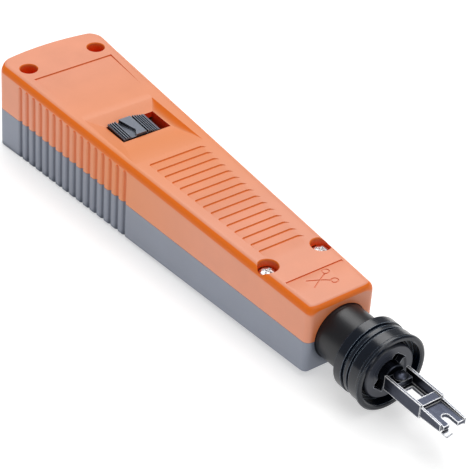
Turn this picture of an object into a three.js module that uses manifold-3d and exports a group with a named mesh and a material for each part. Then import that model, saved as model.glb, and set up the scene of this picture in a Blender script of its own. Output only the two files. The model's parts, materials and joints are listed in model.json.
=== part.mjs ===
// Impact punch down tool: a spring hammer in a two-part handle drives a forked wire-seating blade.
//
// All sizes are millimetres. Every piece is drawn in the tool's own frame. The finished tool is then
// tilted to lie as it would on a table, on the rear of its underside and the rim of its collar.
// In the tool's frame:
//   x runs along the axis of hammer, plunger and blade, from the rear of the handle to the tip;
//   y runs across the handle;
//   z is square to both, and z = 0 is the joint between the upper and the lower shell.

import * as THREE from 'three';
import { mergeVertices } from 'three/addons/utils/BufferGeometryUtils.js';
import Module from 'manifold-3d';

const wasm = await Module();
wasm.setup();

// ---------------------------------------------------------------- driving sizes

const GAP = 0.3;              // usual clearance between neighbouring pieces
const SEAM = 0.1;             // each shell stops this far short of the joint plane

const HANDLE = {
  length: 140,
  rearHalfWidth: 17.99,
  frontHalfWidth: 10.89,
  rearTop: 14.63,
  frontTop: 11.11,
  rearBottom: 12.91,
  frontBottom: 9.59,
  wall: 2.4,
  edgeRadius: 2.5,            // long top edges
  rearEdgeRadius: 0.8,
  frontEdgeRadius: 1.8,
  bottomEdgeRadius: 0.6,
  rearCornerRadius: 3.5,      // seen from above
  frontCornerRadius: 1.8,
  rearBow: 1.1,               // how far the rear corners lag behind its middle
};

const SIDE_GROOVE = { count: 16, first: 13.76, pitch: 3.316, width: 1.5, floor: 0.6, depth: 0.75 };
const TOP_STEP = { count: 15, first: 67.3, pitch: 3.318, depth: 0.5, rearHalf: 9.4, frontHalf: 7.3 };
const REAR_PANEL = { start: 15, end: 33, depth: 0.35, halfWidth: 13 };
const FRONT_LINE = { x: 127.8, width: 0.5, depth: 0.3, halfWidth: 9.2 };
const TROUGH = {
  start: 40,
  floorStart: 44,
  floorEnd: 53.2,
  end: 65.2,
  halfWidth: 10.6,            // at the top face
  depth: 1.55,
  sideSlope: 1.65,            // sideways run of its sides per millimetre of depth
  roofWall: 1.8,              // plastic left under its floor
};
const WINDOW = { x0: 44.1, x1: 53.1, y0: -8.05, y1: 8.05 };

const SCREW = { shank: 1.25, clearance: 1.6, pilot: 1.55, headHeight: 1.6, tip: -7 };
const FRONT_SCREW = { x: 119.95, y: 8.8, hole: 2.8, headTop: 9.9, boss: 3.4 };
const REAR_SCREW = { x: 9.4, y: 11.7, hole: 2.55, headTop: 8.0, boss: 3.7 };

const CAVITY = { rear: 3.2, front: 118.5 };
const PARTITION = { rear: 118.5, front: 123 };
const NECK = {
  radius: 8.15,
  bore: 8.4,
  rear: 132.5,
  front: 157.3,
  wallRear: 143,              // solid wall between the stem's bore and the blade's socket
  wallFront: 145.5,
  springRadius: 3.8,
  socketRear: 149.5,
  socketRadius: 5.6,
};
const COLLAR = { rear: 150, front: 160.6, radius: 10.75, rim: 11.15, bore: 8.45, mouth: 9.5 };
const DISC = { rear: 157.6, front: 159.7, radius: 7.9, hole: 3.6, slotHalf: 5.4, slotWidth: 3.9 };
const DISC_SLOT_TURN = 50;    // degrees from the blade's plane to the bayonet slot

const STEM = { radius: 4.0, rear: 114, front: 142.7 };
const PIN = { radius: 1.5, rear: 99.3, front: 118.7 };
const CLIP = { rear: 116.5, front: 117.3, groove: 3.2, radius: 6.3, mouth: 2.7 };
const BUFFER_RADIUS = 5.5;
const SLEEVE = { rear: 74, front: 113.5, inner: 6.6, outer: 7.6, slotRear: 87.5, slotFront: 100 };
const HAMMER = { rear: 84, front: 106, radius: 6.4, bore: 1.85, boreEnd: 90 };
const LATCH = { rear: 96.2, front: 99.0, halfWidth: 2.5, bottom: -2.6, top: 8.3, offset: 1.3 };
const LATCH_RATIO = 0.15;     // latch drop per millimetre of plunger stroke
const SADDLES = [[78, 80], [108, 110]];
const SADDLE_BORE = 7.8;

const WEDGE_SLOPE = 0.5;      // seat shift per millimetre of slider travel
const WEDGE = { rear: 45.4, front: 54.2, y0: -7.2, y1: 4.2, halfHeight: 3 };
const SEAT = { front: 60, halfWidth: 5.6, halfHeight: 5, boss: 3.9, bossLength: 3 };
const SEAT_GUIDE = { rear: 58.4, front: 65, wall: 1.5 };
const THRUST_WALL = { thickness: 2.5, halfWidth: 9, top: 3.5 };
const HAMMER_SPRING = { rear: 60.4, front: 83.6, radius: 4.9, wire: 0.6, turns: 8 };
const RETURN_SPRING = { rear: 106.2, front: 116.3, radius: 5.2, wire: 0.35, turns: 5 };
const LATCH_SPRING = { floor: -5.3, radius: 0.95, wire: 0.22, turns: 2.5 };
const BLADE_SPRING = { rear: 145.7, front: 148.8, radius: 2.9, wire: 0.3, turns: 3 };
const SLIDER = { y0: -7.7, y1: 4.9, x0: 44.5, x1: 52.7, rise: 1.2, lip: 1.3, flange: 1.0 };
const GUARD = { depth: 4.4, wall: 1.4 };   // hangs down past the end of the selector's window
const PEG = { x: 48.5, y: -1.4, radius: 1.2 };
const SELECTOR_TRAVEL = 3;

const BLADE = {
  hubRadius: 3.3,
  hubRear: 149,
  hubFront: 161.7,
  lugRear: 150.6,
  lugFront: 154,
  lugHalf: 5.0,
  lugWidth: 3.3,
  forkRear: 162,
  step: 175.4,
  barRear: 172.7,
  pocketHalf: 3.1,
  tip: 183.9,
  halfWidth: 3.9,
  halfThickness: 2.1,
  frontHalfWidth: 3.7,
  frontHalfThickness: 1.5,
  tipHalfThickness: 1.0,
  rail: 0.7,
  web: 0.6,
  notchStart: 179.6,
  notchHalf: 1.1,
};
const TONGUE = { front: 165.2, halfWidth: 2.7, bottom: -0.8, top: 1.0 };
const RIVET = { x: 163.7, hole: 1.3, shank: 1.0, head: 1.95, dome: 1.25, flange: 1.7 };
const CUTTER = { rear: 176, neck: 183, front: 185.3, bottom: -1.25, top: -0.8 };

// ---------------------------------------------------------------- materials

function surface(colour, roughness, metalness = 0) {
  return new THREE.MeshStandardMaterial({ color: colour, roughness, metalness });
}

const ORANGE = surface(0xe8743a, 0.45);
const GREY = surface(0x6d7890, 0.5);
const SLATE = surface(0x2c3440, 0.45);
const BLACK = surface(0x17181c, 0.3);
const DARK_STEEL = surface(0x3a3f4a, 0.35, 0.9);
const STEEL = surface(0xb4b8bd, 0.3, 0.95);
const SPRING_STEEL = surface(0x8d9298, 0.35, 0.95);
const RUBBER = surface(0x202020, 0.9);
const NYLON = surface(0xd9d4c4, 0.6);

// ---------------------------------------------------------------- small geometry helpers

const lerp = (a, b, t) => a + (b - a) * t;
const along = (x) => x / HANDLE.length;
const halfWidthAt = (x) => lerp(HANDLE.rearHalfWidth, HANDLE.frontHalfWidth, along(x));
const topAt = (x) => lerp(HANDLE.rearTop, HANDLE.frontTop, along(x));
const bottomAt = (x) => lerp(HANDLE.rearBottom, HANDLE.frontBottom, along(x));
const troughFloor = topAt((WINDOW.x0 + WINDOW.x1) / 2) - TROUGH.depth;
const flangeTop = troughFloor - TROUGH.roofWall - GAP;

// How far a rounded corner of radius r has dropped at distance d from its end.
function cornerDrop(d, r) {
  if (d >= r) {
    return 0;
  }
  return r - Math.sqrt(r * r - (r - d) * (r - d));
}

function bare(geometry) {
  const copy = geometry.clone();
  copy.deleteAttribute('normal');
  copy.deleteAttribute('uv');
  return mergeVertices(copy, 1e-4);
}

// Turns a closed surface inside out when its volume comes out negative.
function outward(geometry) {
  const clean = bare(geometry);
  const p = clean.attributes.position;
  const index = clean.index.array;
  const [a, b, c] = [new THREE.Vector3(), new THREE.Vector3(), new THREE.Vector3()];
  let volume = 0;
  for (let i = 0; i < index.length; i += 3) {
    a.fromBufferAttribute(p, index[i]);
    b.fromBufferAttribute(p, index[i + 1]);
    c.fromBufferAttribute(p, index[i + 2]);
    volume += a.dot(b.cross(c));
  }
  if (volume < 0) {
    for (let i = 0; i < index.length; i += 3) {
      [index[i + 1], index[i + 2]] = [index[i + 2], index[i + 1]];
    }
  }
  return clean;
}

function solid(geometry) {
  const clean = outward(geometry);
  const mesh = new wasm.Mesh({
    numProp: 3,
    vertProperties: new Float32Array(clean.attributes.position.array),
    triVerts: new Uint32Array(clean.index.array),
  });
  return new wasm.Manifold(mesh);
}

function box(x0, x1, y0, y1, z0, z1) {
  const geometry = new THREE.BoxGeometry(x1 - x0, y1 - y0, z1 - z0);
  geometry.translate((x0 + x1) / 2, (y0 + y1) / 2, (z0 + z1) / 2);
  return solid(geometry);
}

function shapeOf(points) {
  return new THREE.Shape(points.map(([a, b]) => new THREE.Vector2(a, b)));
}

// Outline in x, y drawn up from z0 to z1.
function prismZ(points, z0, z1) {
  const geometry = new THREE.ExtrudeGeometry(shapeOf(points), { depth: z1 - z0, bevelEnabled: false });
  geometry.translate(0, 0, z0);
  return solid(geometry);
}

// Outline in x, z drawn across from y0 to y1.
function prismY(points, y0, y1) {
  const geometry = new THREE.ExtrudeGeometry(shapeOf(points), { depth: y1 - y0, bevelEnabled: false });
  geometry.rotateX(Math.PI / 2);
  geometry.translate(0, y1, 0);
  return solid(geometry);
}

function cylinderX(x0, x1, radius, segments = 32) {
  const geometry = new THREE.CylinderGeometry(radius, radius, x1 - x0, segments);
  geometry.rotateZ(-Math.PI / 2);
  geometry.translate((x0 + x1) / 2, 0, 0);
  return solid(geometry);
}

function cylinderZ(x, y, z0, z1, radius, segments = 24) {
  const geometry = new THREE.CylinderGeometry(radius, radius, z1 - z0, segments);
  geometry.rotateX(Math.PI / 2);
  geometry.translate(x, y, (z0 + z1) / 2);
  return solid(geometry);
}

// Body turned about x from points [x, radius]. A tube's outline closes on itself.
function turned(points, segments = 36) {
  const profile = points.map(([x, r]) => new THREE.Vector2(r, x));
  const geometry = new THREE.LatheGeometry(profile, segments);
  geometry.rotateZ(-Math.PI / 2);
  return solid(geometry);
}

function tube(x0, x1, inner, outer, segments = 32) {
  return turned([[x0, inner], [x1, inner], [x1, outer], [x0, outer], [x0, inner]], segments);
}

// Wire wound from start to end along local z, then placed by the caller.
class Helix extends THREE.Curve {
  constructor(radius, length, turns) {
    super();
    this.radius = radius;
    this.length = length;
    this.turns = turns;
  }

  getPoint(t, target = new THREE.Vector3()) {
    const angle = 2 * Math.PI * this.turns * t;
    return target.set(this.radius * Math.cos(angle), this.radius * Math.sin(angle), this.length * t);
  }
}

function coil(radius, wire, length, turns, stepsPerTurn = 11, sides = 6) {
  const ring = [];
  for (let i = 0; i < sides; i += 1) {
    const angle = (2 * Math.PI * i) / sides;
    ring.push([wire * Math.cos(angle), wire * Math.sin(angle)]);
  }
  const path = new Helix(radius, length - 2 * wire, turns);
  const options = { steps: Math.round(turns * stepsPerTurn), extrudePath: path, bevelEnabled: false };
  const geometry = new THREE.ExtrudeGeometry(shapeOf(ring), options);
  geometry.translate(0, 0, wire);
  return geometry;
}

function spring({ rear, front, radius, wire, turns }) {
  const geometry = coil(radius, wire, front - rear, turns);
  geometry.rotateY(Math.PI / 2);
  geometry.translate(rear, 0, 0);
  return solid(geometry);
}

// ---------------------------------------------------------------- the handle's outer skin

// Slab from a flat base to a roof with rounded long edges. Its plan has a bowed rear with rounded
// corners. side is +1 for the upper shell and -1 for the lower one.
function skin(side, heightAt, edge, rearEdge, frontEdge, base) {
  const length = HANDLE.length;
  const rear = [0, 0.2, 0.8, 1.8, 3.5, 6];
  const front = [1.8, 1.0, 0.4, 0.1, 0];
  const stations = [...rear, length / 2, ...front.map((d) => length - d)];
  const arcSteps = 4;
  const flatSteps = 6;
  const roof = [];
  const floor = [];
  for (const x of stations) {
    const fromFront = length - x;
    const half = halfWidthAt(x)
      - cornerDrop(x, HANDLE.rearCornerRadius)
      - cornerDrop(fromFront, HANDLE.frontCornerRadius);
    const height = heightAt(x) - cornerDrop(x, rearEdge) - cornerDrop(fromFront, frontEdge);
    const outline = [];
    for (let i = 0; i <= arcSteps; i += 1) {
      const angle = (Math.PI / 2) * (i / arcSteps);
      outline.push([-half + edge - edge * Math.cos(angle), height - edge + edge * Math.sin(angle)]);
    }
    for (let i = 1; i < flatSteps; i += 1) {
      outline.push([lerp(-half + edge, half - edge, i / flatSteps), height]);
    }
    for (let i = arcSteps; i >= 0; i -= 1) {
      const angle = (Math.PI / 2) * (i / arcSteps);
      outline.push([half - edge + edge * Math.cos(angle), height - edge + edge * Math.sin(angle)]);
    }
    const bowed = (y) => x + HANDLE.rearBow * (y / 13) ** 2 * Math.max(0, 1 - x / 12);
    roof.push(outline.map(([y, z]) => [bowed(y), y, side * z]));
    floor.push(outline.map(([y]) => [bowed(y), y, side * base]));
  }
  const columns = roof[0].length;
  const positions = [];
  const quad = (a, b, c, d) => positions.push(...a, ...b, ...c, ...a, ...c, ...d);
  for (let i = 0; i + 1 < stations.length; i += 1) {
    for (let j = 0; j + 1 < columns; j += 1) {
      quad(roof[i][j], roof[i + 1][j], roof[i + 1][j + 1], roof[i][j + 1]);
      quad(floor[i][j], floor[i][j + 1], floor[i + 1][j + 1], floor[i + 1][j]);
    }
    const last = columns - 1;
    quad(floor[i][0], floor[i + 1][0], roof[i + 1][0], roof[i][0]);
    quad(floor[i][last], roof[i][last], roof[i + 1][last], floor[i + 1][last]);
  }
  const end = stations.length - 1;
  for (let j = 0; j + 1 < columns; j += 1) {
    quad(floor[0][j], roof[0][j], roof[0][j + 1], floor[0][j + 1]);
    quad(floor[end][j], floor[end][j + 1], roof[end][j + 1], roof[end][j]);
  }
  const geometry = new THREE.BufferGeometry();
  geometry.setAttribute('position', new THREE.Float32BufferAttribute(positions, 3));
  return solid(geometry);
}

// Closed body through four-cornered rings [x, y, z], one at each station along x.
function loft(rings) {
  const positions = [];
  const quad = (p, q, r, t) => positions.push(...p, ...q, ...r, ...p, ...r, ...t);
  const last = rings[rings.length - 1];
  quad(...rings[0]);
  quad(last[0], last[3], last[2], last[1]);
  for (let i = 0; i + 1 < rings.length; i += 1) {
    for (let j = 0; j < 4; j += 1) {
      const k = (j + 1) % 4;
      quad(rings[i][j], rings[i + 1][j], rings[i + 1][k], rings[i][k]);
    }
  }
  const geometry = new THREE.BufferGeometry();
  geometry.setAttribute('position', new THREE.Float32BufferAttribute(positions, 3));
  return solid(geometry);
}

// Block that follows the handle's taper, set in from the skin by the wall.
function cavity(side, heightAt, x0, x1, wall) {
  return loft([x0, x1].map((x) => {
    const half = halfWidthAt(x) - wall;
    const far = side * (heightAt(x) - wall);
    const near = -side * 0.5;
    return [[x, -half, near], [x, half, near], [x, half, far], [x, -half, far]];
  }));
}

// Upright grip grooves down both long sides, open at the underside.
function sideGrooves() {
  const cutters = [];
  for (let i = 0; i < SIDE_GROOVE.count; i += 1) {
    const x = SIDE_GROOVE.first + i * SIDE_GROOVE.pitch;
    const face = halfWidthAt(x);
    const ceiling = topAt(x) - HANDLE.edgeRadius - 0.5;
    for (const side of [-1, 1]) {
      const outline = [
        [x - SIDE_GROOVE.width / 2, side * (face + 0.3)],
        [x - SIDE_GROOVE.floor / 2, side * (face - SIDE_GROOVE.depth)],
        [x + SIDE_GROOVE.floor / 2, side * (face - SIDE_GROOVE.depth)],
        [x + SIDE_GROOVE.width / 2, side * (face + 0.3)],
      ];
      cutters.push(prismZ(outline, -HANDLE.rearBottom - 1, ceiling));
    }
  }
  return cutters;
}

// Shallow steps across the top: each drops sharply and climbs back towards the front.
function topSteps() {
  const cutters = [];
  for (let i = 0; i < TOP_STEP.count; i += 1) {
    const x = TOP_STEP.first + i * TOP_STEP.pitch;
    const reach = TOP_STEP.pitch - 0.2;
    const half = lerp(TOP_STEP.rearHalf, TOP_STEP.frontHalf, i / (TOP_STEP.count - 1));
    const outline = [
      [x - 0.25, topAt(x) + 0.4],
      [x, topAt(x) - TOP_STEP.depth],
      [x + reach, topAt(x + reach) + 0.01],
      [x + reach, topAt(x + reach) + 0.4],
    ];
    cutters.push(prismY(outline, -half, half));
  }
  return cutters;
}

// Thumb recess with sloping ends and sides round the selector's window.
function thumbTrough() {
  const { start, floorStart, floorEnd, end, halfWidth, sideSlope } = TROUGH;
  const over = 1;
  const stations = [
    [start, topAt(start)],
    [floorStart, troughFloor],
    [floorEnd, troughFloor],
    [end, topAt(end)],
  ];
  return loft(stations.map(([x, floor]) => {
    const top = topAt(x);
    const low = halfWidth - sideSlope * (top - floor);
    const high = halfWidth + sideSlope * over;
    return [[x, -high, top + over], [x, high, top + over], [x, low, floor], [x, -low, floor]];
  }));
}

function rearPanel() {
  const outline = [
    [REAR_PANEL.start, topAt(REAR_PANEL.start) + 1],
    [REAR_PANEL.start, topAt(REAR_PANEL.start) - REAR_PANEL.depth],
    [REAR_PANEL.end, topAt(REAR_PANEL.end)],
    [REAR_PANEL.end, topAt(REAR_PANEL.end) + 1],
  ];
  return prismY(outline, -REAR_PANEL.halfWidth, REAR_PANEL.halfWidth);
}

function frontLine() {
  const x0 = FRONT_LINE.x;
  const floor = topAt(x0) - FRONT_LINE.depth;
  return box(x0, x0 + FRONT_LINE.width, -FRONT_LINE.halfWidth, FRONT_LINE.halfWidth, floor, 14);
}

const screwSites = [
  ['front_screw_left', FRONT_SCREW, -1],
  ['front_screw_right', FRONT_SCREW, 1],
  ['rear_screw_left', REAR_SCREW, -1],
  ['rear_screw_right', REAR_SCREW, 1],
];

// Cross ribs inside both shells that cradle the guide sleeve.
function saddles(side, heightAt) {
  return SADDLES.map(([x0, x1]) => {
    const middle = (x0 + x1) / 2;
    const half = halfWidthAt(middle) - 1.5;
    const far = heightAt(middle) - 1.5;
    const z = [side * SEAM, side * far].sort((a, b) => a - b);
    return box(x0, x1, -half, half, z[0], z[1]).subtract(cylinderX(x0 - 1, x1 + 1, SADDLE_BORE));
  });
}

function upperShell() {
  const ceiling = troughFloor - TROUGH.roofWall;
  const thickened = prismY([
    [TROUGH.start - 2, topAt(TROUGH.start) + 1],
    [TROUGH.start - 2, topAt(TROUGH.start) - HANDLE.wall],
    [TROUGH.floorStart - 1.6, ceiling],
    [TROUGH.floorEnd + 1.7, ceiling],
    [TROUGH.end + 1, topAt(TROUGH.end) - HANDLE.wall],
    [TROUGH.end + 1, topAt(TROUGH.end) + 1],
  ], -20, 20);
  const hollow = cavity(1, topAt, CAVITY.rear, CAVITY.front, HANDLE.wall).subtract(thickened);
  const outer = skin(1, topAt, HANDLE.edgeRadius, HANDLE.rearEdgeRadius, HANDLE.frontEdgeRadius, SEAM);
  let shell = outer.subtract(hollow);
  for (const rib of saddles(1, topAt)) {
    shell = shell.add(rib);
  }
  for (const [, site, side] of screwSites) {
    const roof = topAt(site.x) - 1.2;
    shell = shell.add(cylinderZ(site.x, side * site.y, SEAM, roof, site.boss).intersect(outer));
    const seat = site.headTop - SCREW.headHeight;
    shell = shell.subtract(cylinderZ(site.x, side * site.y, seat - 0.15, 20, site.hole));
    shell = shell.subtract(cylinderZ(site.x, side * site.y, -1, seat, SCREW.clearance, 16));
  }
  shell = shell.subtract(cylinderX(PARTITION.front, HANDLE.length + 1, NECK.bore, 48));
  shell = shell.subtract(cylinderX(PARTITION.rear - 1, PARTITION.front + 1, STEM.radius + GAP));
  for (const cutter of [...sideGrooves(), ...topSteps(), thumbTrough(), rearPanel(), frontLine()]) {
    shell = shell.subtract(cutter);
  }
  const guardBottom = troughFloor - GUARD.depth;
  const guardTop = troughFloor - 0.5;
  const guardEnd = WINDOW.y1 + GUARD.wall;
  shell = shell.add(box(WINDOW.x0 - 1, WINDOW.x1 + 1, WINDOW.y1, guardEnd, guardBottom, guardTop));
  return shell.subtract(box(WINDOW.x0, WINDOW.x1, WINDOW.y0, WINDOW.y1, 5, 20));
}

function lowerShell() {
  const edge = HANDLE.bottomEdgeRadius;
  const outer = skin(-1, bottomAt, edge, edge, edge, SEAM);
  let shell = outer.subtract(cavity(-1, bottomAt, CAVITY.rear, CAVITY.front, HANDLE.wall - 0.1));
  for (const rib of saddles(-1, bottomAt)) {
    shell = shell.add(rib);
  }
  for (const [, site, side] of screwSites) {
    const floor = -bottomAt(site.x) + 1.2;
    shell = shell.add(cylinderZ(site.x, side * site.y, floor, -SEAM, site.boss).intersect(outer));
    shell = shell.subtract(cylinderZ(site.x, side * site.y, SCREW.tip - GAP, 1, SCREW.pilot, 16));
  }
  // Wall behind the selector wedge: it takes the push of the hammer spring.
  const wallFront = WEDGE.rear - GAP;
  const wallRear = wallFront - THRUST_WALL.thickness;
  const { halfWidth, top } = THRUST_WALL;
  shell = shell.add(box(wallRear, wallFront, -halfWidth, halfWidth, 1 - bottomAt(wallRear), top));
  // Two cheeks guide the spring seat.
  const { rear, front, wall } = SEAT_GUIDE;
  for (const side of [-1, 1]) {
    const near = SEAT.halfWidth + GAP;
    const y = [side * near, side * (near + wall)].sort((a, b) => a - b);
    shell = shell.add(box(rear, front, y[0], y[1], 1 - bottomAt(rear), -SEAM));
  }
  shell = shell.subtract(cylinderX(PARTITION.front, HANDLE.length + 1, NECK.bore, 48));
  shell = shell.subtract(cylinderX(PARTITION.rear - 1, PARTITION.front + 1, STEM.radius + GAP));
  for (const cutter of sideGrooves()) {
    shell = shell.subtract(cutter);
  }
  return shell;
}

// ---------------------------------------------------------------- fixed pieces in the handle

function screw(site, side) {
  const seat = site.headTop - SCREW.headHeight;
  const head = site.hole - GAP;
  const y = side * site.y;
  let piece = cylinderZ(site.x, y, SCREW.tip, seat + 0.5, SCREW.shank, 16);
  piece = piece.add(cylinderZ(site.x, y, seat + 0.1, site.headTop, head));
  const crossHalf = head * 0.68;
  const floor = site.headTop - 0.8;
  const arm = 0.28;
  piece = piece.subtract(box(site.x - crossHalf, site.x + crossHalf, y - arm, y + arm, floor, 20));
  return piece.subtract(box(site.x - arm, site.x + arm, y - crossHalf, y + crossHalf, floor, 20));
}

function guideSleeve() {
  const slotHalf = LATCH.halfWidth + 0.5;
  const slot = box(SLEEVE.slotRear, SLEEVE.slotFront, -slotHalf, slotHalf, 4, 10);
  return tube(SLEEVE.rear, SLEEVE.front, SLEEVE.inner, SLEEVE.outer, 36).subtract(slot);
}

// The ramp's slope equals the latch's drop per millimetre, so they keep an even gap all the way.
function tripRamp() {
  const rear = SLEEVE.slotRear + 0.4;
  const front = SLEEVE.slotFront - 0.7;
  const under = (x) => LATCH.top + GAP - LATCH_RATIO * (LATCH.front - x);
  const roof = (x) => topAt(x) - HANDLE.wall - GAP;
  return prismY([
    [rear, under(rear)],
    [front, under(front)],
    [front, roof(front)],
    [rear, roof(rear)],
  ], -LATCH.halfWidth, LATCH.halfWidth);
}

function bufferWasher() {
  return tube(CLIP.front + 0.2, PARTITION.rear - 0.2, STEM.radius + GAP, BUFFER_RADIUS, 28);
}

// Bent leaf whose nose sits in one of two notches in the slider's flange.
function detentSpring() {
  const nose = SLIDER.x0 - SLIDER.lip - GAP + 0.1;
  const back = nose - 1.8;
  const leaf = back + 0.8;
  const outline = [
    [back, -7], [back, 3], [leaf, 3], [leaf, 0.3], [nose, -1.0], [nose, -1.6], [leaf, -2.8], [leaf, -7],
  ];
  return prismZ(outline, flangeTop - 0.9, flangeTop - 0.1);
}

// ---------------------------------------------------------------- plunger

function plungerBarrel() {
  const { radius, rear, front, wallRear, wallFront, springRadius, socketRear, socketRadius } = NECK;
  const bore = STEM.radius + GAP;
  const chamfer = 0.6;
  return turned([
    [rear, bore],
    [wallRear, bore],
    [wallRear, 0],
    [wallFront, 0],
    [wallFront, springRadius],
    [socketRear, springRadius],
    [socketRear, socketRadius],
    [front, socketRadius],
    [front, radius],
    [rear + chamfer, radius],
    [rear, radius - chamfer],
    [rear, bore],
  ], 48);
}

function collar() {
  const { rear, front, radius, rim, bore, mouth } = COLLAR;
  const groove = radius - 0.8;
  const band = radius - 0.25;
  return turned([
    [rear, bore],
    [DISC.rear, bore],
    [DISC.rear, mouth],
    [front - 0.3, mouth],
    [front, mouth + 0.4],
    [front, rim - 0.5],
    [front - 0.4, rim],
    [front - 1.1, rim],
    [front - 1.5, radius],
    [156.2, radius],
    [156.0, groove],
    [155.4, groove],
    [155.2, band],
    [154.1, band],
    [153.9, groove],
    [153.4, groove],
    [153.2, radius],
    [rear + 0.5, radius],
    [rear, radius - 0.5],
    [rear, bore],
  ], 40);
}

function bayonetDisc() {
  const { rear, front, radius, hole, slotHalf, slotWidth } = DISC;
  const half = slotWidth / 2;
  const slot = box(rear - 1, front + 1, -slotHalf, slotHalf, -half, half).rotate([DISC_SLOT_TURN, 0, 0]);
  const plate = turned([
    [rear, 0],
    [front - 0.3, 0],
    [front - 0.3, hole + 1.4],
    [front, hole + 2.0],
    [front, radius - 0.4],
    [front - 0.4, radius],
    [rear, radius],
    [rear, 0],
  ], 48);
  return plate.subtract(cylinderX(rear - 1, front + 1, hole)).subtract(slot);
}

function anvilStem() {
  return turned([
    [STEM.rear, 0],
    [STEM.rear, 3.6],
    [STEM.rear + 0.4, STEM.radius],
    [CLIP.rear - 0.2, STEM.radius],
    [CLIP.rear - 0.2, CLIP.groove],
    [CLIP.front + 0.2, CLIP.groove],
    [CLIP.front + 0.2, STEM.radius],
    [STEM.front, STEM.radius],
    [STEM.front, 0],
  ], 32).subtract(cylinderX(STEM.rear - 4, STEM.rear + 5, PIN.radius + GAP, 24));
}

function releasePin() {
  return turned([
    [PIN.rear, 0],
    [PIN.rear, PIN.radius],
    [PIN.front, PIN.radius],
    [PIN.front, 0],
  ], 24);
}

// Open ring snapped into the stem's groove; it stops the plunger at the partition.
function retainingClip() {
  const ring = tube(CLIP.rear, CLIP.front, CLIP.groove + 0.2, CLIP.radius, 32);
  return ring.subtract(box(CLIP.rear - 1, CLIP.front + 1, -CLIP.mouth, CLIP.mouth, -8, 0));
}

// ---------------------------------------------------------------- hammer and latch

function hammer() {
  const { rear, front, radius, bore, boreEnd } = HAMMER;
  const body = turned([
    [rear, 0],
    [rear, radius - 0.8],
    [rear + 0.8, radius],
    [front - 0.6, radius],
    [front, radius - 0.6],
    [front, 0],
  ], 32);
  const slotHalf = LATCH.halfWidth + GAP;
  const slotFloor = LATCH_SPRING.floor - 0.1;
  const slot = box(LATCH.rear - GAP, LATCH.front + GAP, -slotHalf, slotHalf, slotFloor, 8);
  return body.subtract(cylinderX(boreEnd, front + 1, bore, 24)).subtract(slot);
}

function tripLatch() {
  const { rear, front, halfWidth, bottom, top, offset } = LATCH;
  const plate = prismY([
    [rear, bottom],
    [front, bottom],
    [front, top],
    [rear, top - LATCH_RATIO * (front - rear)],
  ], -halfWidth, halfWidth);
  const hole = cylinderX(rear - 1, front + 1, HAMMER.bore - 0.05, 24).translate([0, 0, offset]);
  return plate.subtract(hole);
}

function latchSpring() {
  const { floor, radius, wire, turns } = LATCH_SPRING;
  const geometry = coil(radius, wire, LATCH.bottom - 0.1 - floor, turns, 10, 5);
  geometry.translate((LATCH.rear + LATCH.front) / 2, 0, floor);
  return solid(geometry);
}

// ---------------------------------------------------------------- force selector

function forceSlider() {
  const { x0, x1, y0, y1, rise, lip, flange } = SLIDER;
  const roof = troughFloor + rise;
  const flangeBottom = flangeTop - flange;
  // Saw-tooth ribs along x, with a deeper channel near the middle.
  const profile = [[y0, troughFloor - 1.2]];
  const teeth = 9;
  const channel = 5;
  const step = (y1 - y0) / teeth;
  for (let i = 0; i < teeth; i += 1) {
    const y = y0 + i * step;
    const crown = roof - 0.22 * Math.max(0, i - channel);
    const valley = crown - (i === channel ? 0.9 : 0.45);
    profile.push([y, valley], [y + step * 0.25, crown], [y + step * 0.75, crown]);
  }
  profile.push([y1, roof - 1.1], [y1, troughFloor - 1.2]);
  const geometry = new THREE.ExtrudeGeometry(shapeOf(profile), { depth: x1 - x0, bevelEnabled: false });
  const [xAxis, yAxis, zAxis] = [
    new THREE.Vector3(1, 0, 0), new THREE.Vector3(0, 1, 0), new THREE.Vector3(0, 0, 1),
  ];
  geometry.applyMatrix4(new THREE.Matrix4().makeBasis(yAxis, zAxis, xAxis));
  geometry.translate(x0, 0, 0);
  let piece = solid(geometry);
  piece = piece.add(box(x0, x1, y0, y1, flangeBottom + 0.2, troughFloor - 1.1));
  let plate = box(x0 - lip, x1 + lip, y0 - lip, y1, flangeBottom, flangeTop);
  for (const y of [-1.3, -1.3 - SELECTOR_TRAVEL]) {
    const edge = x0 - lip;
    plate = plate.subtract(prismZ([[edge - 1, y - 1.3], [edge + 0.4, y], [edge - 1, y + 1.3]], 5, 12));
  }
  piece = piece.add(plate);
  const stem = WEDGE.halfHeight + GAP;
  piece = piece.add(box(PEG.x - 1.7, PEG.x + 1.7, PEG.y - 1.9, PEG.y + 1.9, stem, flangeBottom + 0.5));
  return piece.add(cylinderZ(PEG.x, PEG.y, 0.5, stem + 0.5, PEG.radius, 20));
}

function selectorWedge() {
  const { rear, front, y0, y1, halfHeight } = WEDGE;
  const outline = [
    [rear, y0],
    [front - WEDGE_SLOPE * y0, y0],
    [front - WEDGE_SLOPE * y1, y1],
    [rear, y1],
  ];
  const socket = cylinderZ(PEG.x, PEG.y, 0.2, halfHeight + 1, PEG.radius + GAP, 20);
  return prismZ(outline, -halfHeight, halfHeight).subtract(socket);
}

function springSeat() {
  const { front, halfWidth, halfHeight, boss, bossLength } = SEAT;
  const rear = WEDGE.front + GAP + 0.1;
  const outline = [
    [rear + WEDGE_SLOPE * halfWidth, -halfWidth],
    [front, -halfWidth],
    [front, halfWidth],
    [rear - WEDGE_SLOPE * halfWidth, halfWidth],
  ];
  const pilot = cylinderX(front - 0.5, front + bossLength, boss, 24);
  return prismZ(outline, -halfHeight, halfHeight).add(pilot);
}

// ---------------------------------------------------------------- blade

function rivetHole() {
  return cylinderZ(RIVET.x, 0, -4, 4, RIVET.hole, 20);
}

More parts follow.
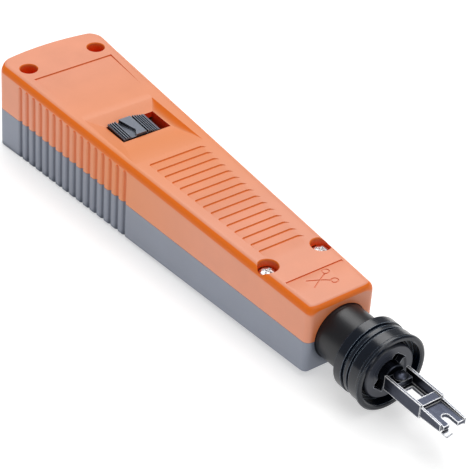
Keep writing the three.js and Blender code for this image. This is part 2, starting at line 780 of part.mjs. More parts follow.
function bladeHub() {
  const { hubRadius, hubRear, hubFront, lugRear, lugFront, lugHalf, lugWidth } = BLADE;
  let hub = turned([
    [hubRear, 0],
    [hubRear, hubRadius - 0.5],
    [hubRear + 0.5, hubRadius],
    [hubFront - 0.5, hubRadius],
    [hubFront, hubRadius - 0.5],
    [hubFront, 0],
  ], 32);
  hub = hub.add(box(lugRear, lugFront, -lugHalf, lugHalf, -lugWidth / 2, lugWidth / 2));
  const { front, halfWidth, bottom, top } = TONGUE;
  hub = hub.add(box(hubFront - 1, front, -halfWidth, halfWidth, bottom, top));
  return hub.subtract(rivetHole());
}

// Plan outline of the slot between the prongs: round at its rear end and open at the tip.
function notchOutline() {
  const { notchStart, notchHalf, tip } = BLADE;
  const points = [[tip + 2, -notchHalf], [tip + 2, notchHalf]];
  const steps = 10;
  for (let i = 0; i <= steps; i += 1) {
    const angle = Math.PI / 2 + (Math.PI * i) / steps;
    const x = notchStart + notchHalf + notchHalf * Math.cos(angle);
    points.push([x, notchHalf * Math.sin(angle)]);
  }
  return points;
}

// Opening behind the cross bar, with its front corners rounded.
function windowOutline() {
  const [rear, front, half, corner] = [166.0, BLADE.barRear - 0.4, 2.2, 1.2];
  const points = [[rear, half], [rear, -half]];
  const steps = 5;
  for (let i = 0; i <= steps; i += 1) {
    const angle = -Math.PI / 2 + (Math.PI / 2) * (i / steps);
    points.push([front - corner + corner * Math.cos(angle), -half + corner + corner * Math.sin(angle)]);
  }
  for (let i = 0; i <= steps; i += 1) {
    const angle = (Math.PI / 2) * (i / steps);
    points.push([front - corner + corner * Math.cos(angle), half - corner + corner * Math.sin(angle)]);
  }
  return points;
}

function bladeFork() {
  const { forkRear, step, tip, halfWidth, halfThickness, frontHalfWidth } = BLADE;
  const { frontHalfThickness, tipHalfThickness, rail, web, barRear, pocketHalf } = BLADE;
  let fork = box(forkRear, step, -halfWidth, halfWidth, -halfThickness, halfThickness);
  fork = fork.subtract(box(forkRear - 1, barRear, -pocketHalf, pocketHalf, -1.1, 5));
  fork = fork.subtract(box(barRear - 0.1, step + 1, -pocketHalf, pocketHalf, 1.6, 5));
  fork = fork.subtract(prismZ(windowOutline(), -5, 5));
  const prongs = prismY([
    [step - 0.5, -frontHalfThickness],
    [tip, -tipHalfThickness],
    [tip, tipHalfThickness],
    [step - 0.5, frontHalfThickness],
  ], -frontHalfWidth, frontHalfWidth);
  fork = fork.add(prongs);
  const pocket = frontHalfWidth - rail;
  fork = fork.subtract(box(step, tip + 1, -pocket, pocket, web, 5));
  fork = fork.subtract(box(step, tip + 1, -pocket, pocket, -5, -web));
  fork = fork.subtract(prismZ(notchOutline(), -5, 5));
  // The left prong is cut back to make room for the cutter's head.
  fork = fork.subtract(box(tip - 1.2, tip + 1, -5, -pocket, -5, 5));
  fork = fork.subtract(box(tip - 0.6, tip + 1, -5, -1, -5, 5));
  return fork.subtract(rivetHole());
}

// Flat cutter under the left prong; its sharpened head stands out past the tip.
function cuttingBlade() {
  const { rear, neck, front, bottom, top } = CUTTER;
  const inner = -1.35;
  const shank = -2.7;
  const outer = -3.6;
  const outline = [
    [rear, shank],
    [neck, shank],
    [neck + 0.2, outer],
    [front, outer],
    [front - 0.3, inner],
    [rear, inner],
  ];
  const plate = prismZ(outline, bottom, top);
  const bevel = prismY([
    [front - 1.1, top + 0.1],
    [front + 0.7, top + 0.1],
    [front + 0.7, bottom],
    [front, bottom + 0.03],
  ], -5, 0);
  return plate.subtract(bevel);
}

function bladeRivet() {
  const { x, shank, head, dome, flange } = RIVET;
  const under = 1.3;
  const profile = [[0, -2.7], [flange, -2.7], [flange, -2.3], [shank, -2.3], [shank, under]];
  const steps = 4;
  for (let i = 0; i <= steps; i += 1) {
    const angle = (Math.PI / 2) * (i / steps);
    profile.push([head * Math.cos(angle), under + dome * Math.sin(angle)]);
  }
  profile[profile.length - 1][0] = 0;
  const outline = profile.map(([r, z]) => new THREE.Vector2(r, z));
  const geometry = new THREE.LatheGeometry(outline, 24);
  geometry.rotateX(Math.PI / 2);
  geometry.translate(x, 0, 0);
  return solid(geometry);
}

// ---------------------------------------------------------------- assembly

const tool = new THREE.Group();

function place(name, material, body) {
  const mesh = body.getMesh();
  const geometry = new THREE.BufferGeometry();
  geometry.setAttribute('position', new THREE.BufferAttribute(new Float32Array(mesh.vertProperties), 3));
  geometry.setIndex(new THREE.BufferAttribute(new Uint32Array(mesh.triVerts), 1));
  geometry.computeVertexNormals();
  const piece = new THREE.Mesh(geometry, material.clone());
  piece.name = name;
  tool.add(piece);
}

place('upper_shell', ORANGE, upperShell());
place('lower_shell', GREY, lowerShell());
for (const [name, site, side] of screwSites) {
  place(name, STEEL, screw(site, side));
}
place('guide_sleeve', NYLON, guideSleeve());
place('trip_ramp', STEEL, tripRamp());
place('buffer_washer', RUBBER, bufferWasher());
place('selector_detent_spring', SPRING_STEEL, detentSpring());

place('plunger_barrel', BLACK, plungerBarrel());
place('collar', BLACK, collar());
place('bayonet_disc', SLATE, bayonetDisc());
place('anvil_stem', STEEL, anvilStem());
place('release_pin', STEEL, releasePin());
place('retaining_clip', SPRING_STEEL, retainingClip());
place('return_spring', SPRING_STEEL, spring(RETURN_SPRING));
place('blade_spring', SPRING_STEEL, spring(BLADE_SPRING));

place('hammer', STEEL, hammer());
place('trip_latch', DARK_STEEL, tripLatch());
place('latch_spring', SPRING_STEEL, latchSpring());
place('hammer_spring', SPRING_STEEL, spring(HAMMER_SPRING));

place('force_slider', SLATE, forceSlider());
place('selector_wedge', DARK_STEEL, selectorWedge());
place('spring_seat', NYLON, springSeat());

place('blade_hub', DARK_STEEL, bladeHub());
place('blade_fork', DARK_STEEL, bladeFork());
place('cutting_blade', STEEL, cuttingBlade());
place('blade_rivet', DARK_STEEL, bladeRivet());

// At rest the rear of the underside and the lowest point of the collar's rim both touch z = 0.
const heel = { x: HANDLE.bottomEdgeRadius, depth: bottomAt(HANDLE.bottomEdgeRadius) };
const toe = { x: COLLAR.front - 0.75, depth: COLLAR.rim };
tool.rotation.y = Math.atan((heel.depth - toe.depth) / (toe.x - heel.x));
const part = new THREE.Group();
part.add(tool);
part.updateMatrixWorld(true);
const bounds = new THREE.Box3().setFromObject(part, true);
tool.position.x -= (bounds.min.x + bounds.max.x) / 2;
tool.position.z -= bounds.min.z;
part.updateMatrixWorld(true);

export default part;
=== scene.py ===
import json
import math

import bmesh
import bpy
from mathutils import Matrix, Vector


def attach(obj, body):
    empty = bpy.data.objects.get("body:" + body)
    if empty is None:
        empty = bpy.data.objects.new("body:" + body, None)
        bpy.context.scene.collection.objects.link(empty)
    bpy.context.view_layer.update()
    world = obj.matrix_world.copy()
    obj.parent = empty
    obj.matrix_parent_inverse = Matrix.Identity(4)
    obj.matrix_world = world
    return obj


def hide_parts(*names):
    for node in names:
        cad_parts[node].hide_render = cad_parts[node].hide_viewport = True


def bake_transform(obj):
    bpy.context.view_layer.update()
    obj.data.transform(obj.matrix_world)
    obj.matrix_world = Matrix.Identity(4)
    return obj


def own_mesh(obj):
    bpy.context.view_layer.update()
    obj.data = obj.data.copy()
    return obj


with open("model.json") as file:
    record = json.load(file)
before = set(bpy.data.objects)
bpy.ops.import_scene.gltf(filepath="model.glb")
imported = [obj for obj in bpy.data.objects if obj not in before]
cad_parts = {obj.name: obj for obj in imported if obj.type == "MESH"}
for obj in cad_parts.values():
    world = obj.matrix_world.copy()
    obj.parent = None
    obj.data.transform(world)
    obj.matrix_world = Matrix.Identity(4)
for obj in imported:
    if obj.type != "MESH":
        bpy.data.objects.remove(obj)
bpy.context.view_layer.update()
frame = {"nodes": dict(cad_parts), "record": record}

MM = 0.001

# ------------------------------------------------------------------ sizes, in millimetres

LENGTH = 140.0
HALF_WIDTH = (17.99, 10.89)        # at the rear and at the front, as in TOP and BOTTOM
TOP = (14.63, 11.11)
BOTTOM = (12.91, 9.59)
WALL = 2.4
SEAM = 0.03
EDGE_RADIUS = 2.5
REAR_EDGE_RADIUS = 0.8
FRONT_EDGE_RADIUS = 1.8
BOTTOM_EDGE_RADIUS = 0.6
REAR_CORNER_RADIUS = 3.5
FRONT_CORNER_RADIUS = 1.8
REAR_BOW = 1.1                     # how far the rear's middle stands behind y = REAR_BOW_HALF
REAR_BOW_HALF = 13.0
REAR_BOW_FADE = 12.0               # the bow is gone this far from the rear
CAVITY = (3.2, 118.5)              # where the shells' hollow starts and ends
POST_RADIUS = 3.7                  # the posts round the rear screws
REAR_PANEL = (15.0, 33.0, 0.35, 13.4, 12.0)   # start, end, depth, half-width at each end
FRONT_LINE = (127.8, 129.0, 0.3, 9.3, 9.2)    # the same

SIDE_GROOVES = 16
SIDE_GROOVE_FIRST = 13.76
SIDE_GROOVE_PITCH = 3.316
TOP_STEPS = 15
TOP_STEP_FIRST = 67.3
TOP_STEP_PITCH = 3.318
TOP_STEP_DEPTH = 0.36
TOP_STEP_RUNOUT = (0.6, 1.6)       # how far the left and right ends take to fade out
TOP_STEP_CURL = (0.3, 1.3)         # how far those ends curl forward
TOP_STEP_GAP = 0.2                 # uncut strip between one step's end and the next one's lip
TOP_STEP_HALF = (9.4, 7.3)         # first step and last step

TROUGH = (40.0, 44.0, 53.2, 65.2)  # start, floor from, floor to, end
TROUGH_HALF = (12.6, 10.6)         # left and right of the middle, at the top face
TROUGH_DEPTH = 1.55
TROUGH_FLOOR_HALF = 8.05
WINDOW = (44.1, 53.1, -8.05, 8.05)
WINDOW_LOW = 5.0                   # the window's cutter starts here, inside the handle
SLIDER = (44.5, 52.7, -7.7, 4.9)

SCREW_CLEARANCE = 0.25             # between a screw's head and its well
FRONT_SCREW = {"x": 119.95, "y": 8.8, "hole": 2.8, "head_top": 9.9}
REAR_SCREW = {"x": 9.4, "y": 11.7, "hole": 2.55, "head_top": 8.0}
SCREWS = {
    "front_screw_left": (FRONT_SCREW, -1),
    "front_screw_right": (FRONT_SCREW, 1),
    "rear_screw_left": (REAR_SCREW, -1),
    "rear_screw_right": (REAR_SCREW, 1),
}
HEAD_HEIGHT = 1.6

NECK_RADIUS = 8.15
NECK_BORE = 8.35
NECK_ROOM = 123.0                  # the neck's bore starts here and runs to the front
STEM_BORE = 4.3
PLATE_SEAT = 157.6                 # where the bayonet plate lies against the collar's step
DISC_TURN = 50.0                   # degrees from the blade's plane to the bayonet slot
TWIST_X = 150.0                    # where the record places the blade's hinge


def mix(a, b, t):
    return a + (b - a) * t


def taper(pair, x):
    return mix(pair[0], pair[1], x / LENGTH)


TROUGH_FLOOR = taper(TOP, (WINDOW[0] + WINDOW[1]) / 2) - TROUGH_DEPTH


# ------------------------------------------------------------------ placing things in the frame

def tool_matrix():
    """From the tool's frame in millimetres to the model's frame in metres."""
    joints = frame["record"]["behaviour"]["joints"]
    twist = next(j for j in joints if j["name"] == "blade_twist")
    x = Vector(twist["axis"]).normalized()
    y = Vector((0, 1, 0))
    z = x.cross(y).normalized()
    origin = Vector(twist["pos_m"]) - x * (TWIST_X * MM)
    turn = Matrix((x, y, z)).transposed().to_4x4()
    return Matrix.Translation(origin) @ turn @ Matrix.Scale(MM, 4)


TOOL = tool_matrix()


def at(x, y, z):
    return tuple(TOOL @ Vector((x, y, z)))


# ------------------------------------------------------------------ mesh helpers

SMOOTH_ANGLE = math.radians(32)    # faces that meet at less than this shade as one surface
LONG_COIL = 4                      # a coil of more turns has its end turns closed up
COIL_EVENNESS = 0.72               # 1 spaces its turns evenly, 0 closes its ends right up


def new_mesh(verts, faces):
    mesh = bpy.data.meshes.new("form")
    mesh.from_pydata(verts, [], faces)
    bm = bmesh.new()
    bm.from_mesh(mesh)
    bmesh.ops.remove_doubles(bm, verts=bm.verts, dist=1e-5)
    bmesh.ops.recalc_face_normals(bm, faces=bm.faces)
    bm.to_mesh(mesh)
    bm.free()
    return mesh


def merged(meshes):
    """One mesh of several that don't touch each other."""
    bm = bmesh.new()
    for mesh in meshes:
        bm.from_mesh(mesh)
    out = bpy.data.meshes.new("form")
    bm.to_mesh(out)
    bm.free()
    return out


def loft(rings):
    """Closed skin through rings of equal length, with flat ends."""
    count = len(rings[0])
    verts = [p for ring in rings for p in ring]
    faces = [list(range(count)), list(range((len(rings) - 1) * count, len(rings) * count))]
    for i in range(len(rings) - 1):
        for j in range(count):
            k = (j + 1) % count
            faces.append([i * count + j, i * count + k, (i + 1) * count + k, (i + 1) * count + j])
    return new_mesh(verts, faces)


def prism_z(outline, z0, z1):
    return loft([[(x, y, z) for x, y in outline] for z in (z0, z1)])


def prism_y(outline, y0, y1):
    return loft([[(x, y, z) for x, z in outline] for y in (y0, y1)])


def box(x0, x1, y0, y1, z0, z1):
    return prism_z([(x0, y0), (x1, y0), (x1, y1), (x0, y1)], z0, z1)


def revolve(profile, segments, closed, axis):
    """Skin of a profile of (along, radius) turned about the tool's x, or about z at a point."""
    verts = []
    for i in range(segments):
        a = 2 * math.pi * i / segments
        for along, r in profile:
            if axis == "x":
                verts.append((along, r * math.cos(a), r * math.sin(a)))
            else:
                verts.append((axis[0] + r * math.cos(a), axis[1] + r * math.sin(a), along))
    count = len(profile)
    steps = count if closed else count - 1
    faces = []
    for i in range(segments):
        k = (i + 1) % segments
        for j in range(steps):
            m = (j + 1) % count
            faces.append([i * count + j, i * count + m, k * count + m, k * count + j])
    return new_mesh(verts, faces)


def turned(profile, segments, axis="x"):
    """Solid whose profile starts and ends on the axis."""
    return revolve(profile, segments, False, axis)


def ring(profile, segments):
    """Solid whose profile closes on itself away from the axis."""
    return revolve(profile, segments, True, "x")


def cylinder_x(x0, x1, r, segments=96):
    return turned([(x0, 0), (x0, r), (x1, r), (x1, 0)], segments)


def cylinder_z(x, y, z0, z1, r, segments=48):
    return turned([(z0, 0), (z0, r), (z1, r), (z1, 0)], segments, (x, y))


def tube_along(points, radius, sides=10):
    """Round rod with flat ends through the points."""
    rings = []
    side = None
    for i, p in enumerate(points):
        before = Vector(points[max(i - 1, 0)])
        after = Vector(points[min(i + 1, len(points) - 1)])
        ahead = (after - before).normalized()
        if side is None:
            side = ahead.orthogonal().normalized()
        side = (side - ahead * side.dot(ahead)).normalized()
        other = ahead.cross(side)
        circle = []
        for j in range(sides):
            a = 2 * math.pi * j / sides
            u, v = radius * math.cos(a), radius * math.sin(a)
            circle.append(tuple(Vector(p) + side * u + other * v))
        rings.append(circle)
    return loft(rings)


def coil(start, end, radius, wire, turns, along="x", centre=(0, 0), part=(0.0, 1.0)):
    """Compression spring wound about x, or about z at a centre.

    The end turns of a long one are closed up. part gives the share of its turns to draw, from one
    end to the other.
    """
    steps_per_turn = 28
    first, last = part
    steps = int(turns * (last - first) * steps_per_turn)
    points = []
    for i in range(steps + 1):
        t = mix(first, last, i / steps)
        a = 2 * math.pi * turns * t
        rise = mix(start + wire, end - wire, t)
        if turns > LONG_COIL:
            closed_up = mix(start + wire, end - wire, 0.5 - 0.5 * math.cos(math.pi * t))
            rise = mix(closed_up, rise, COIL_EVENNESS)
        u, v = radius * math.cos(a), radius * math.sin(a)
        points.append((rise, u, v) if along == "x" else (centre[0] + u, centre[1] + v, rise))
    return tube_along(points, wire)


def carve(mesh, cutters, operation="DIFFERENCE"):
    """The mesh after exact booleans with each cutter in turn."""
    scene = bpy.context.scene
    base = bpy.data.objects.new("carve", mesh)
    scene.collection.objects.link(base)
    helpers = []
    for cutter in cutters:
        helper = bpy.data.objects.new("cutter", cutter)
        scene.collection.objects.link(helper)
        helpers.append(helper)
        modifier = base.modifiers.new("carve", "BOOLEAN")
        modifier.solver = "EXACT"
        modifier.operation = operation
        modifier.object = helper
    graph = bpy.context.evaluated_depsgraph_get()
    result = bpy.data.meshes.new_from_object(base.evaluated_get(graph))
    for obj in [base, *helpers]:
        bpy.data.objects.remove(obj)
    return result


def piece(name, mesh, material, body, nodes, bevel=0.0):
    """Shows a form as a piece that stands for CAD nodes and rides on a body, if given one."""
    mesh.transform(TOOL)
    mesh.name = name
    mesh.materials.clear()
    mesh.materials.append(material)
    for polygon in mesh.polygons:
        polygon.use_smooth = True
        polygon.material_index = 0
    mesh.set_sharp_from_angle(angle=SMOOTH_ANGLE)
    obj = bpy.data.objects.new(name, mesh)
    bpy.context.scene.collection.objects.link(obj)
    if bevel:
        round_off = obj.modifiers.new("edges", "BEVEL")
        round_off.width = bevel * MM
        round_off.segments = 2
        round_off.limit_method = "ANGLE"
        round_off.angle_limit = SMOOTH_ANGLE
        round_off.use_clamp_overlap = True
        round_off.miter_outer = "MITER_ARC"
        round_off.harden_normals = True
    weight = obj.modifiers.new("normals", "WEIGHTED_NORMAL")
    weight.keep_sharp = True
    if body:
        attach(obj, body)
    if nodes:
        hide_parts(*nodes)
    return obj


# ------------------------------------------------------------------ materials

def node_of(tree, kind, **values):
    made = tree.nodes.new(kind)
    for key, value in values.items():
        setattr(made, key, value)
    return made


def noise(tree, vector, scale, detail=3.0, roughness=0.55):
    made = node_of(tree, "ShaderNodeTexNoise")
    made.inputs["Scale"].default_value = scale
    made.inputs["Detail"].default_value = detail
    made.inputs["Roughness"].default_value = roughness
    tree.links.new(vector, made.inputs["Vector"])
    return made.outputs["Fac"]


def span(tree, value, low, high, from_low=0.3, from_high=0.7):
    made = node_of(tree, "ShaderNodeMapRange")
    made.inputs["From Min"].default_value = from_low
    made.inputs["From Max"].default_value = from_high
    made.inputs["To Min"].default_value = low
    made.inputs["To Max"].default_value = high
    tree.links.new(value, made.inputs["Value"])
    return made.outputs["Result"]


def blend_colour(tree, factor, a, b):
    made = node_of(tree, "ShaderNodeMix", data_type="RGBA")
    tree.links.new(factor, made.inputs["Factor"])
    for socket, value in ((made.inputs[6], a), (made.inputs[7], b)):
        if isinstance(value, tuple):
            socket.default_value = (*value, 1.0)
        else:
            tree.links.new(value, socket)
    return made.outputs[2]


def bump(tree, height, strength, distance):
    made = node_of(tree, "ShaderNodeBump")
    made.inputs["Strength"].default_value = strength
    made.inputs["Distance"].default_value = distance
    tree.links.new(height, made.inputs["Height"])
    return made


def start_material(name, roughness, metallic=0.0):
    material = bpy.data.materials.new(name)
    material.use_nodes = True
    tree = material.node_tree
    shader = tree.nodes["Principled BSDF"]
    shader.inputs["Roughness"].default_value = roughness
    shader.inputs["Metallic"].default_value = metallic
    coords = node_of(tree, "ShaderNodeTexCoord").outputs["Object"]
    return material, tree, shader, coords


def edge_highlight_mask(tree, radius, full=0.88, none=0.985):
    """1 along edges and 0 on flats, from how far a softened normal leans off the true one: where
    the painted highlights go.
    """
    soft = node_of(tree, "ShaderNodeBevel", samples=6)
    soft.inputs["Radius"].default_value = radius
    true_normal = node_of(tree, "ShaderNodeNewGeometry").outputs["Normal"]
    lean = node_of(tree, "ShaderNodeVectorMath", operation="DOT_PRODUCT")
    tree.links.new(soft.outputs["Normal"], lean.inputs[0])
    tree.links.new(true_normal, lean.inputs[1])
    return span(tree, lean.outputs["Value"], 1.0, 0.0, full, none)


def moulded(name, colour, fillet_shade, rough, grain=0.05, mottle=0.06, gloss=0.5,
            groove=None, recess=None, reach=0.003, edge=None, highlight_width=0.00015, sheen_drift=None):
    """Injection-moulded plastic: faint mottling, fine grain, painted sheen on flats and painted
    shade on rounded edges.

    Hollows within reach turn to the groove and recess colours, as painted shade. Edges take the
    edge colour, as a painted highlight. The drift is a painted lighting tone, its place along x and
    the distance at which it is gone.
    """
    material, tree, shader, coords = start_material(name, rough)
    shader.inputs["Specular IOR Level"].default_value = gloss
    light = tuple(min(1.0, c * (1 + mottle)) for c in colour)
    dark = tuple(c * (1 - mottle) for c in colour)
    broad = noise(tree, coords, 55.0, 4.0)
    base = blend_colour(tree, span(tree, broad, 0.0, 1.0), dark, light)
    normal = node_of(tree, "ShaderNodeNewGeometry").outputs["Normal"]
    split = node_of(tree, "ShaderNodeSeparateXYZ")
    tree.links.new(normal, split.inputs["Vector"])
    if sheen_drift:
        # Painted lighting: the tone drifts along the object, full at one place and gone at a
        # distance from it, for a sheen that is weaker there.
        tone, place, distance = sheen_drift
        along = node_of(tree, "ShaderNodeSeparateXYZ")
        tree.links.new(coords, along.inputs["Vector"])
        off = node_of(tree, "ShaderNodeMath", operation="SUBTRACT")
        tree.links.new(along.outputs["X"], off.inputs[0])
        off.inputs[1].default_value = place
        away = node_of(tree, "ShaderNodeMath", operation="ABSOLUTE")
        tree.links.new(off.outputs[0], away.inputs[0])
        share = span(tree, away.outputs[0], 1.0, 0.0, 0.0, distance)
        base = blend_colour(tree, share, base, tone)
    # Painted shade: rounded edges are neither upright (0) nor level (1), and there the colour is
    # deeper; the paler colour on the flats is painted sheen.
    up = node_of(tree, "ShaderNodeMath", operation="ABSOLUTE")
    tree.links.new(split.outputs["Z"], up.inputs[0])
    fillet_shade_mask = node_of(tree, "ShaderNodeValToRGB")
    fillet_shade_mask.color_ramp.interpolation = "EASE"
    black, white = (0, 0, 0, 1), (1, 1, 1, 1)
    stops = fillet_shade_mask.color_ramp.elements
    stops[0].position, stops[0].color = 0.06, black
    stops[1].position, stops[1].color = 0.90, black
    for position in (0.25, 0.82):
        stop = stops.new(position)
        stop.color = white
    tree.links.new(up.outputs[0], fillet_shade_mask.inputs["Fac"])
    base = blend_colour(tree, fillet_shade_mask.outputs["Color"], base, fillet_shade)
    # Painted shade: hollows that ambient occlusion finds within reach take the groove colour, and
    # the deepest ones the recess colour.
    if recess:
        shade_probe = node_of(tree, "ShaderNodeAmbientOcclusion", samples=8)
        shade_probe.inputs["Distance"].default_value = reach
        unshaded_share = shade_probe.outputs["AO"]
        shallow_shade = span(tree, unshaded_share, 1.0, 0.0, 0.5, 0.88)
        deep = span(tree, unshaded_share, 1.0, 0.0, 0.25, 0.55)
        base = blend_colour(tree, shallow_shade, base, groove or recess)
        base = blend_colour(tree, deep, base, recess)
    # Painted highlight: edges take the edge colour, for light caught along them.
    if edge:
        base = blend_colour(tree, edge_highlight_mask(tree, highlight_width), base, edge)
    tree.links.new(base, shader.inputs["Base Color"])
    fine = noise(tree, coords, 2600.0, 2.0, 0.6)
    tree.links.new(span(tree, broad, rough - 0.04, rough + 0.06), shader.inputs["Roughness"])
    tree.links.new(bump(tree, fine, grain, 0.00006).outputs["Normal"], shader.inputs["Normal"])
    return material


def metal(name, colour, rough, streak=0.25, mottle=0.12, edge=None, highlight_width=0.00022):
    """Worked metal: brushed streaks along x, mottled tone, uneven roughness, painted highlights
    along edges.
    """
    material, tree, shader, coords = start_material(name, rough, 1.0)
    stretch = node_of(tree, "ShaderNodeMapping")
    stretch.inputs["Scale"].default_value = (0.06, 1.0, 1.0)
    tree.links.new(coords, stretch.inputs["Vector"])
    lines = noise(tree, stretch.outputs["Vector"], 4200.0, 3.0, 0.7)
    broad = noise(tree, coords, 260.0, 4.0)
    light = tuple(min(1.0, c * (1 + mottle)) for c in colour)
    dark = tuple(c * (1 - mottle) for c in colour)
    tone = blend_colour(tree, span(tree, broad, 0.0, 1.0), dark, light)
    if edge:
        # Painted highlight: edges take the bright edge colour and less metal, for light caught
        # along them.
        highlight_share = edge_highlight_mask(tree, highlight_width, 0.94, 0.995)
        tone = blend_colour(tree, highlight_share, tone, edge)
        tree.links.new(span(tree, highlight_share, 1.0, 0.35, 0.0, 1.0), shader.inputs["Metallic"])
    tree.links.new(tone, shader.inputs["Base Color"])
    tree.links.new(span(tree, lines, rough - 0.08, rough + 0.12), shader.inputs["Roughness"])
    tree.links.new(bump(tree, lines, streak, 0.00002).outputs["Normal"], shader.inputs["Normal"])
    return material


# Painted lighting: just in front of the force slider the orange is painted at its yellowest, where
# the sheen on the top is weakest.
DIM_SHEEN_ORANGE = (0.82, 0.275, 0.105)
DIM_SHEEN_PLACE = at(58, 0, 0)[0]
DIM_SHEEN_DISTANCE = 42 * MM

# Painted lighting: the pale first colour stands for sheen on the flats, the deeper second one is
# painted shade on the rounded edges, and the groove and recess colours are painted shade in
# hollows.
ORANGE = moulded(
    "orange_moulded", (0.82, 0.322, 0.192), (0.84, 0.165, 0.004), 0.42, gloss=0.42,
    groove=(0.72, 0.17, 0.03), recess=(0.88, 0.06, 0.0), reach=0.0065,
    sheen_drift=(DIM_SHEEN_ORANGE, DIM_SHEEN_PLACE, DIM_SHEEN_DISTANCE),
)
# Painted light: a deep red for the window's walls, standing in for light that soaks through the
# plastic.
PAINTED_WINDOW_GLOW = moulded("painted_window_glow", (0.80, 0.035, 0.004), (0.80, 0.035, 0.004), 0.42, gloss=0.3)
# Painted shade: the second colour on the rounded edges and the recess colour in hollows.
GREY = moulded(
    "grey_moulded", (0.262, 0.288, 0.352), (0.246, 0.272, 0.338), 0.45,
    recess=(0.06, 0.075, 0.11),
)
# Painted shade: the second colour on the rounded edges and the recess colour in the grooves; the
# edge colour is a painted highlight.
SLATE = moulded(
    "slate_moulded", (0.155, 0.175, 0.22), (0.06, 0.07, 0.10), 0.34, 0.08,
    recess=(0.004, 0.005, 0.008), reach=0.0022, edge=(0.42, 0.46, 0.54), highlight_width=0.00014,
)
NECK_BLACK = moulded(
    "neck_black", (0.006, 0.007, 0.010), (0.006, 0.007, 0.010), 0.36, 0.06, gloss=0.45,
)
# Painted highlight: the edge colour along the collar's band edges.
GLOSS_BLACK = moulded(
    "collar_black", (0.001, 0.004, 0.011), (0.001, 0.004, 0.011), 0.2, 0.03, gloss=0.46,
    edge=(0.34, 0.42, 0.52), highlight_width=0.00024,
)
# Painted highlight: the edge colour along the plate's edges.
PLATE_BLACK = moulded(
    "plate_black", (0.035, 0.04, 0.055), (0.02, 0.023, 0.033), 0.3, 0.05, gloss=0.4,
    edge=(0.70, 0.75, 0.84), highlight_width=0.00026,
)
NYLON = moulded("nylon_moulded", (0.72, 0.70, 0.62), (0.70, 0.68, 0.60), 0.5)
RUBBER = moulded("rubber_moulded", (0.02, 0.02, 0.02), (0.02, 0.02, 0.02), 0.85, 0.2)
STEEL = metal("bright_steel", (0.62, 0.63, 0.65), 0.28)
CUTTER_STEEL = metal("cutter_steel", (0.50, 0.51, 0.54), 0.34, 0.15)
SPRING = metal("spring_steel", (0.45, 0.46, 0.48), 0.34)
# Painted highlight: the edge colours of these three steels.
DARK_STEEL = metal(
    "dark_steel", (0.058, 0.064, 0.088), 0.32, 0.3, edge=(0.97, 0.98, 1.0), highlight_width=0.0005,
)
HUB_STEEL = metal("hub_steel", (0.03, 0.034, 0.048), 0.3, 0.25, edge=(0.5, 0.54, 0.62))
SCREW_STEEL = metal("screw_steel", (0.88, 0.88, 0.89), 0.2, 0.1, edge=(0.98, 0.98, 0.98))


# ------------------------------------------------------------------ the two shells

def corner_drop(d, r):
    """How far a corner rounded to r falls back at a distance d from its end."""
    return 0.0 if d >= r else r - math.sqrt(r * r - (r - d) ** 2)


def eased(count, reach):
    """Distances from an end, crowded where a rounded edge curves most."""
    return [reach * (1 - math.cos(math.pi / 2 * i / count)) for i in range(count + 1)]


def skin(side, heights, edge, rear_edge, front_edge, base):
    """Slab from a flat base to a roof with rounded edges, a bowed rear and rounded corners."""
    rear = sorted({*eased(6, rear_edge), *eased(12, REAR_CORNER_RADIUS)})
    reach = LENGTH - REAR_CORNER_RADIUS - FRONT_EDGE_RADIUS
    stations = 28
    middle = [REAR_CORNER_RADIUS + reach * i / stations for i in range(1, stations)]
    front = [LENGTH - d for d in reversed(eased(8, FRONT_EDGE_RADIUS))]
    arc_steps, flat_steps = 8, 20
    roof, floor = [], []
    for x in [*rear, *middle, *front]:
        half = taper(HALF_WIDTH, x) - corner_drop(x, REAR_CORNER_RADIUS)
        half -= corner_drop(LENGTH - x, FRONT_CORNER_RADIUS)
        height = taper(heights, x) - corner_drop(x, rear_edge) - corner_drop(LENGTH - x, front_edge)
        line = []
        for i in range(arc_steps + 1):
            a = math.pi / 2 * i / arc_steps
            line.append((-half + edge * (1 - math.cos(a)), height - edge * (1 - math.sin(a))))
        for i in range(1, flat_steps):
            line.append((mix(-half + edge, half - edge, i / flat_steps), height))
        for i in range(arc_steps, -1, -1):
            a = math.pi / 2 * i / arc_steps
            line.append((half - edge * (1 - math.cos(a)), height - edge * (1 - math.sin(a))))
        bow = REAR_BOW * max(0.0, 1 - x / REAR_BOW_FADE)
        bowed = [(x + bow * (y / REAR_BOW_HALF) ** 2, y, z) for y, z in line]
        roof.append([(u, y, side * z) for u, y, z in bowed])
        floor.append([(u, y, side * base) for u, y, z in bowed])
    rows, columns = len(roof), len(roof[0])
    verts = [p for line in roof for p in line] + [p for line in floor for p in line]

    def top_at(i, j):
        return i * columns + j

    def low_at(i, j):
        return (rows + i) * columns + j

    last, end = columns - 1, rows - 1
    faces = []
    for i in range(end):
        for j in range(last):
            faces.append([top_at(i, j), top_at(i + 1, j), top_at(i + 1, j + 1), top_at(i, j + 1)])
        faces.append([low_at(i, 0), low_at(i + 1, 0), top_at(i + 1, 0), top_at(i, 0)])
        faces.append([low_at(i, last), top_at(i, last), top_at(i + 1, last), low_at(i + 1, last)])
    for j in range(last):
        faces.append([low_at(0, j), top_at(0, j), top_at(0, j + 1), low_at(0, j + 1)])
        faces.append([low_at(end, j), low_at(end, j + 1), top_at(end, j + 1), top_at(end, j)])
    # The base is one flat face round the whole outline.
    around = [low_at(i, 0) for i in range(rows)]
    around += [low_at(end, j) for j in range(1, columns)]
    around += [low_at(i, last) for i in range(end - 1, -1, -1)]
    around += [low_at(0, j) for j in range(last - 1, 0, -1)]
    faces.append(around)
    used = sorted({k for face in faces for k in face})
    new_index = {k: i for i, k in enumerate(used)}
    return new_mesh([verts[k] for k in used], [[new_index[k] for k in face] for face in faces])


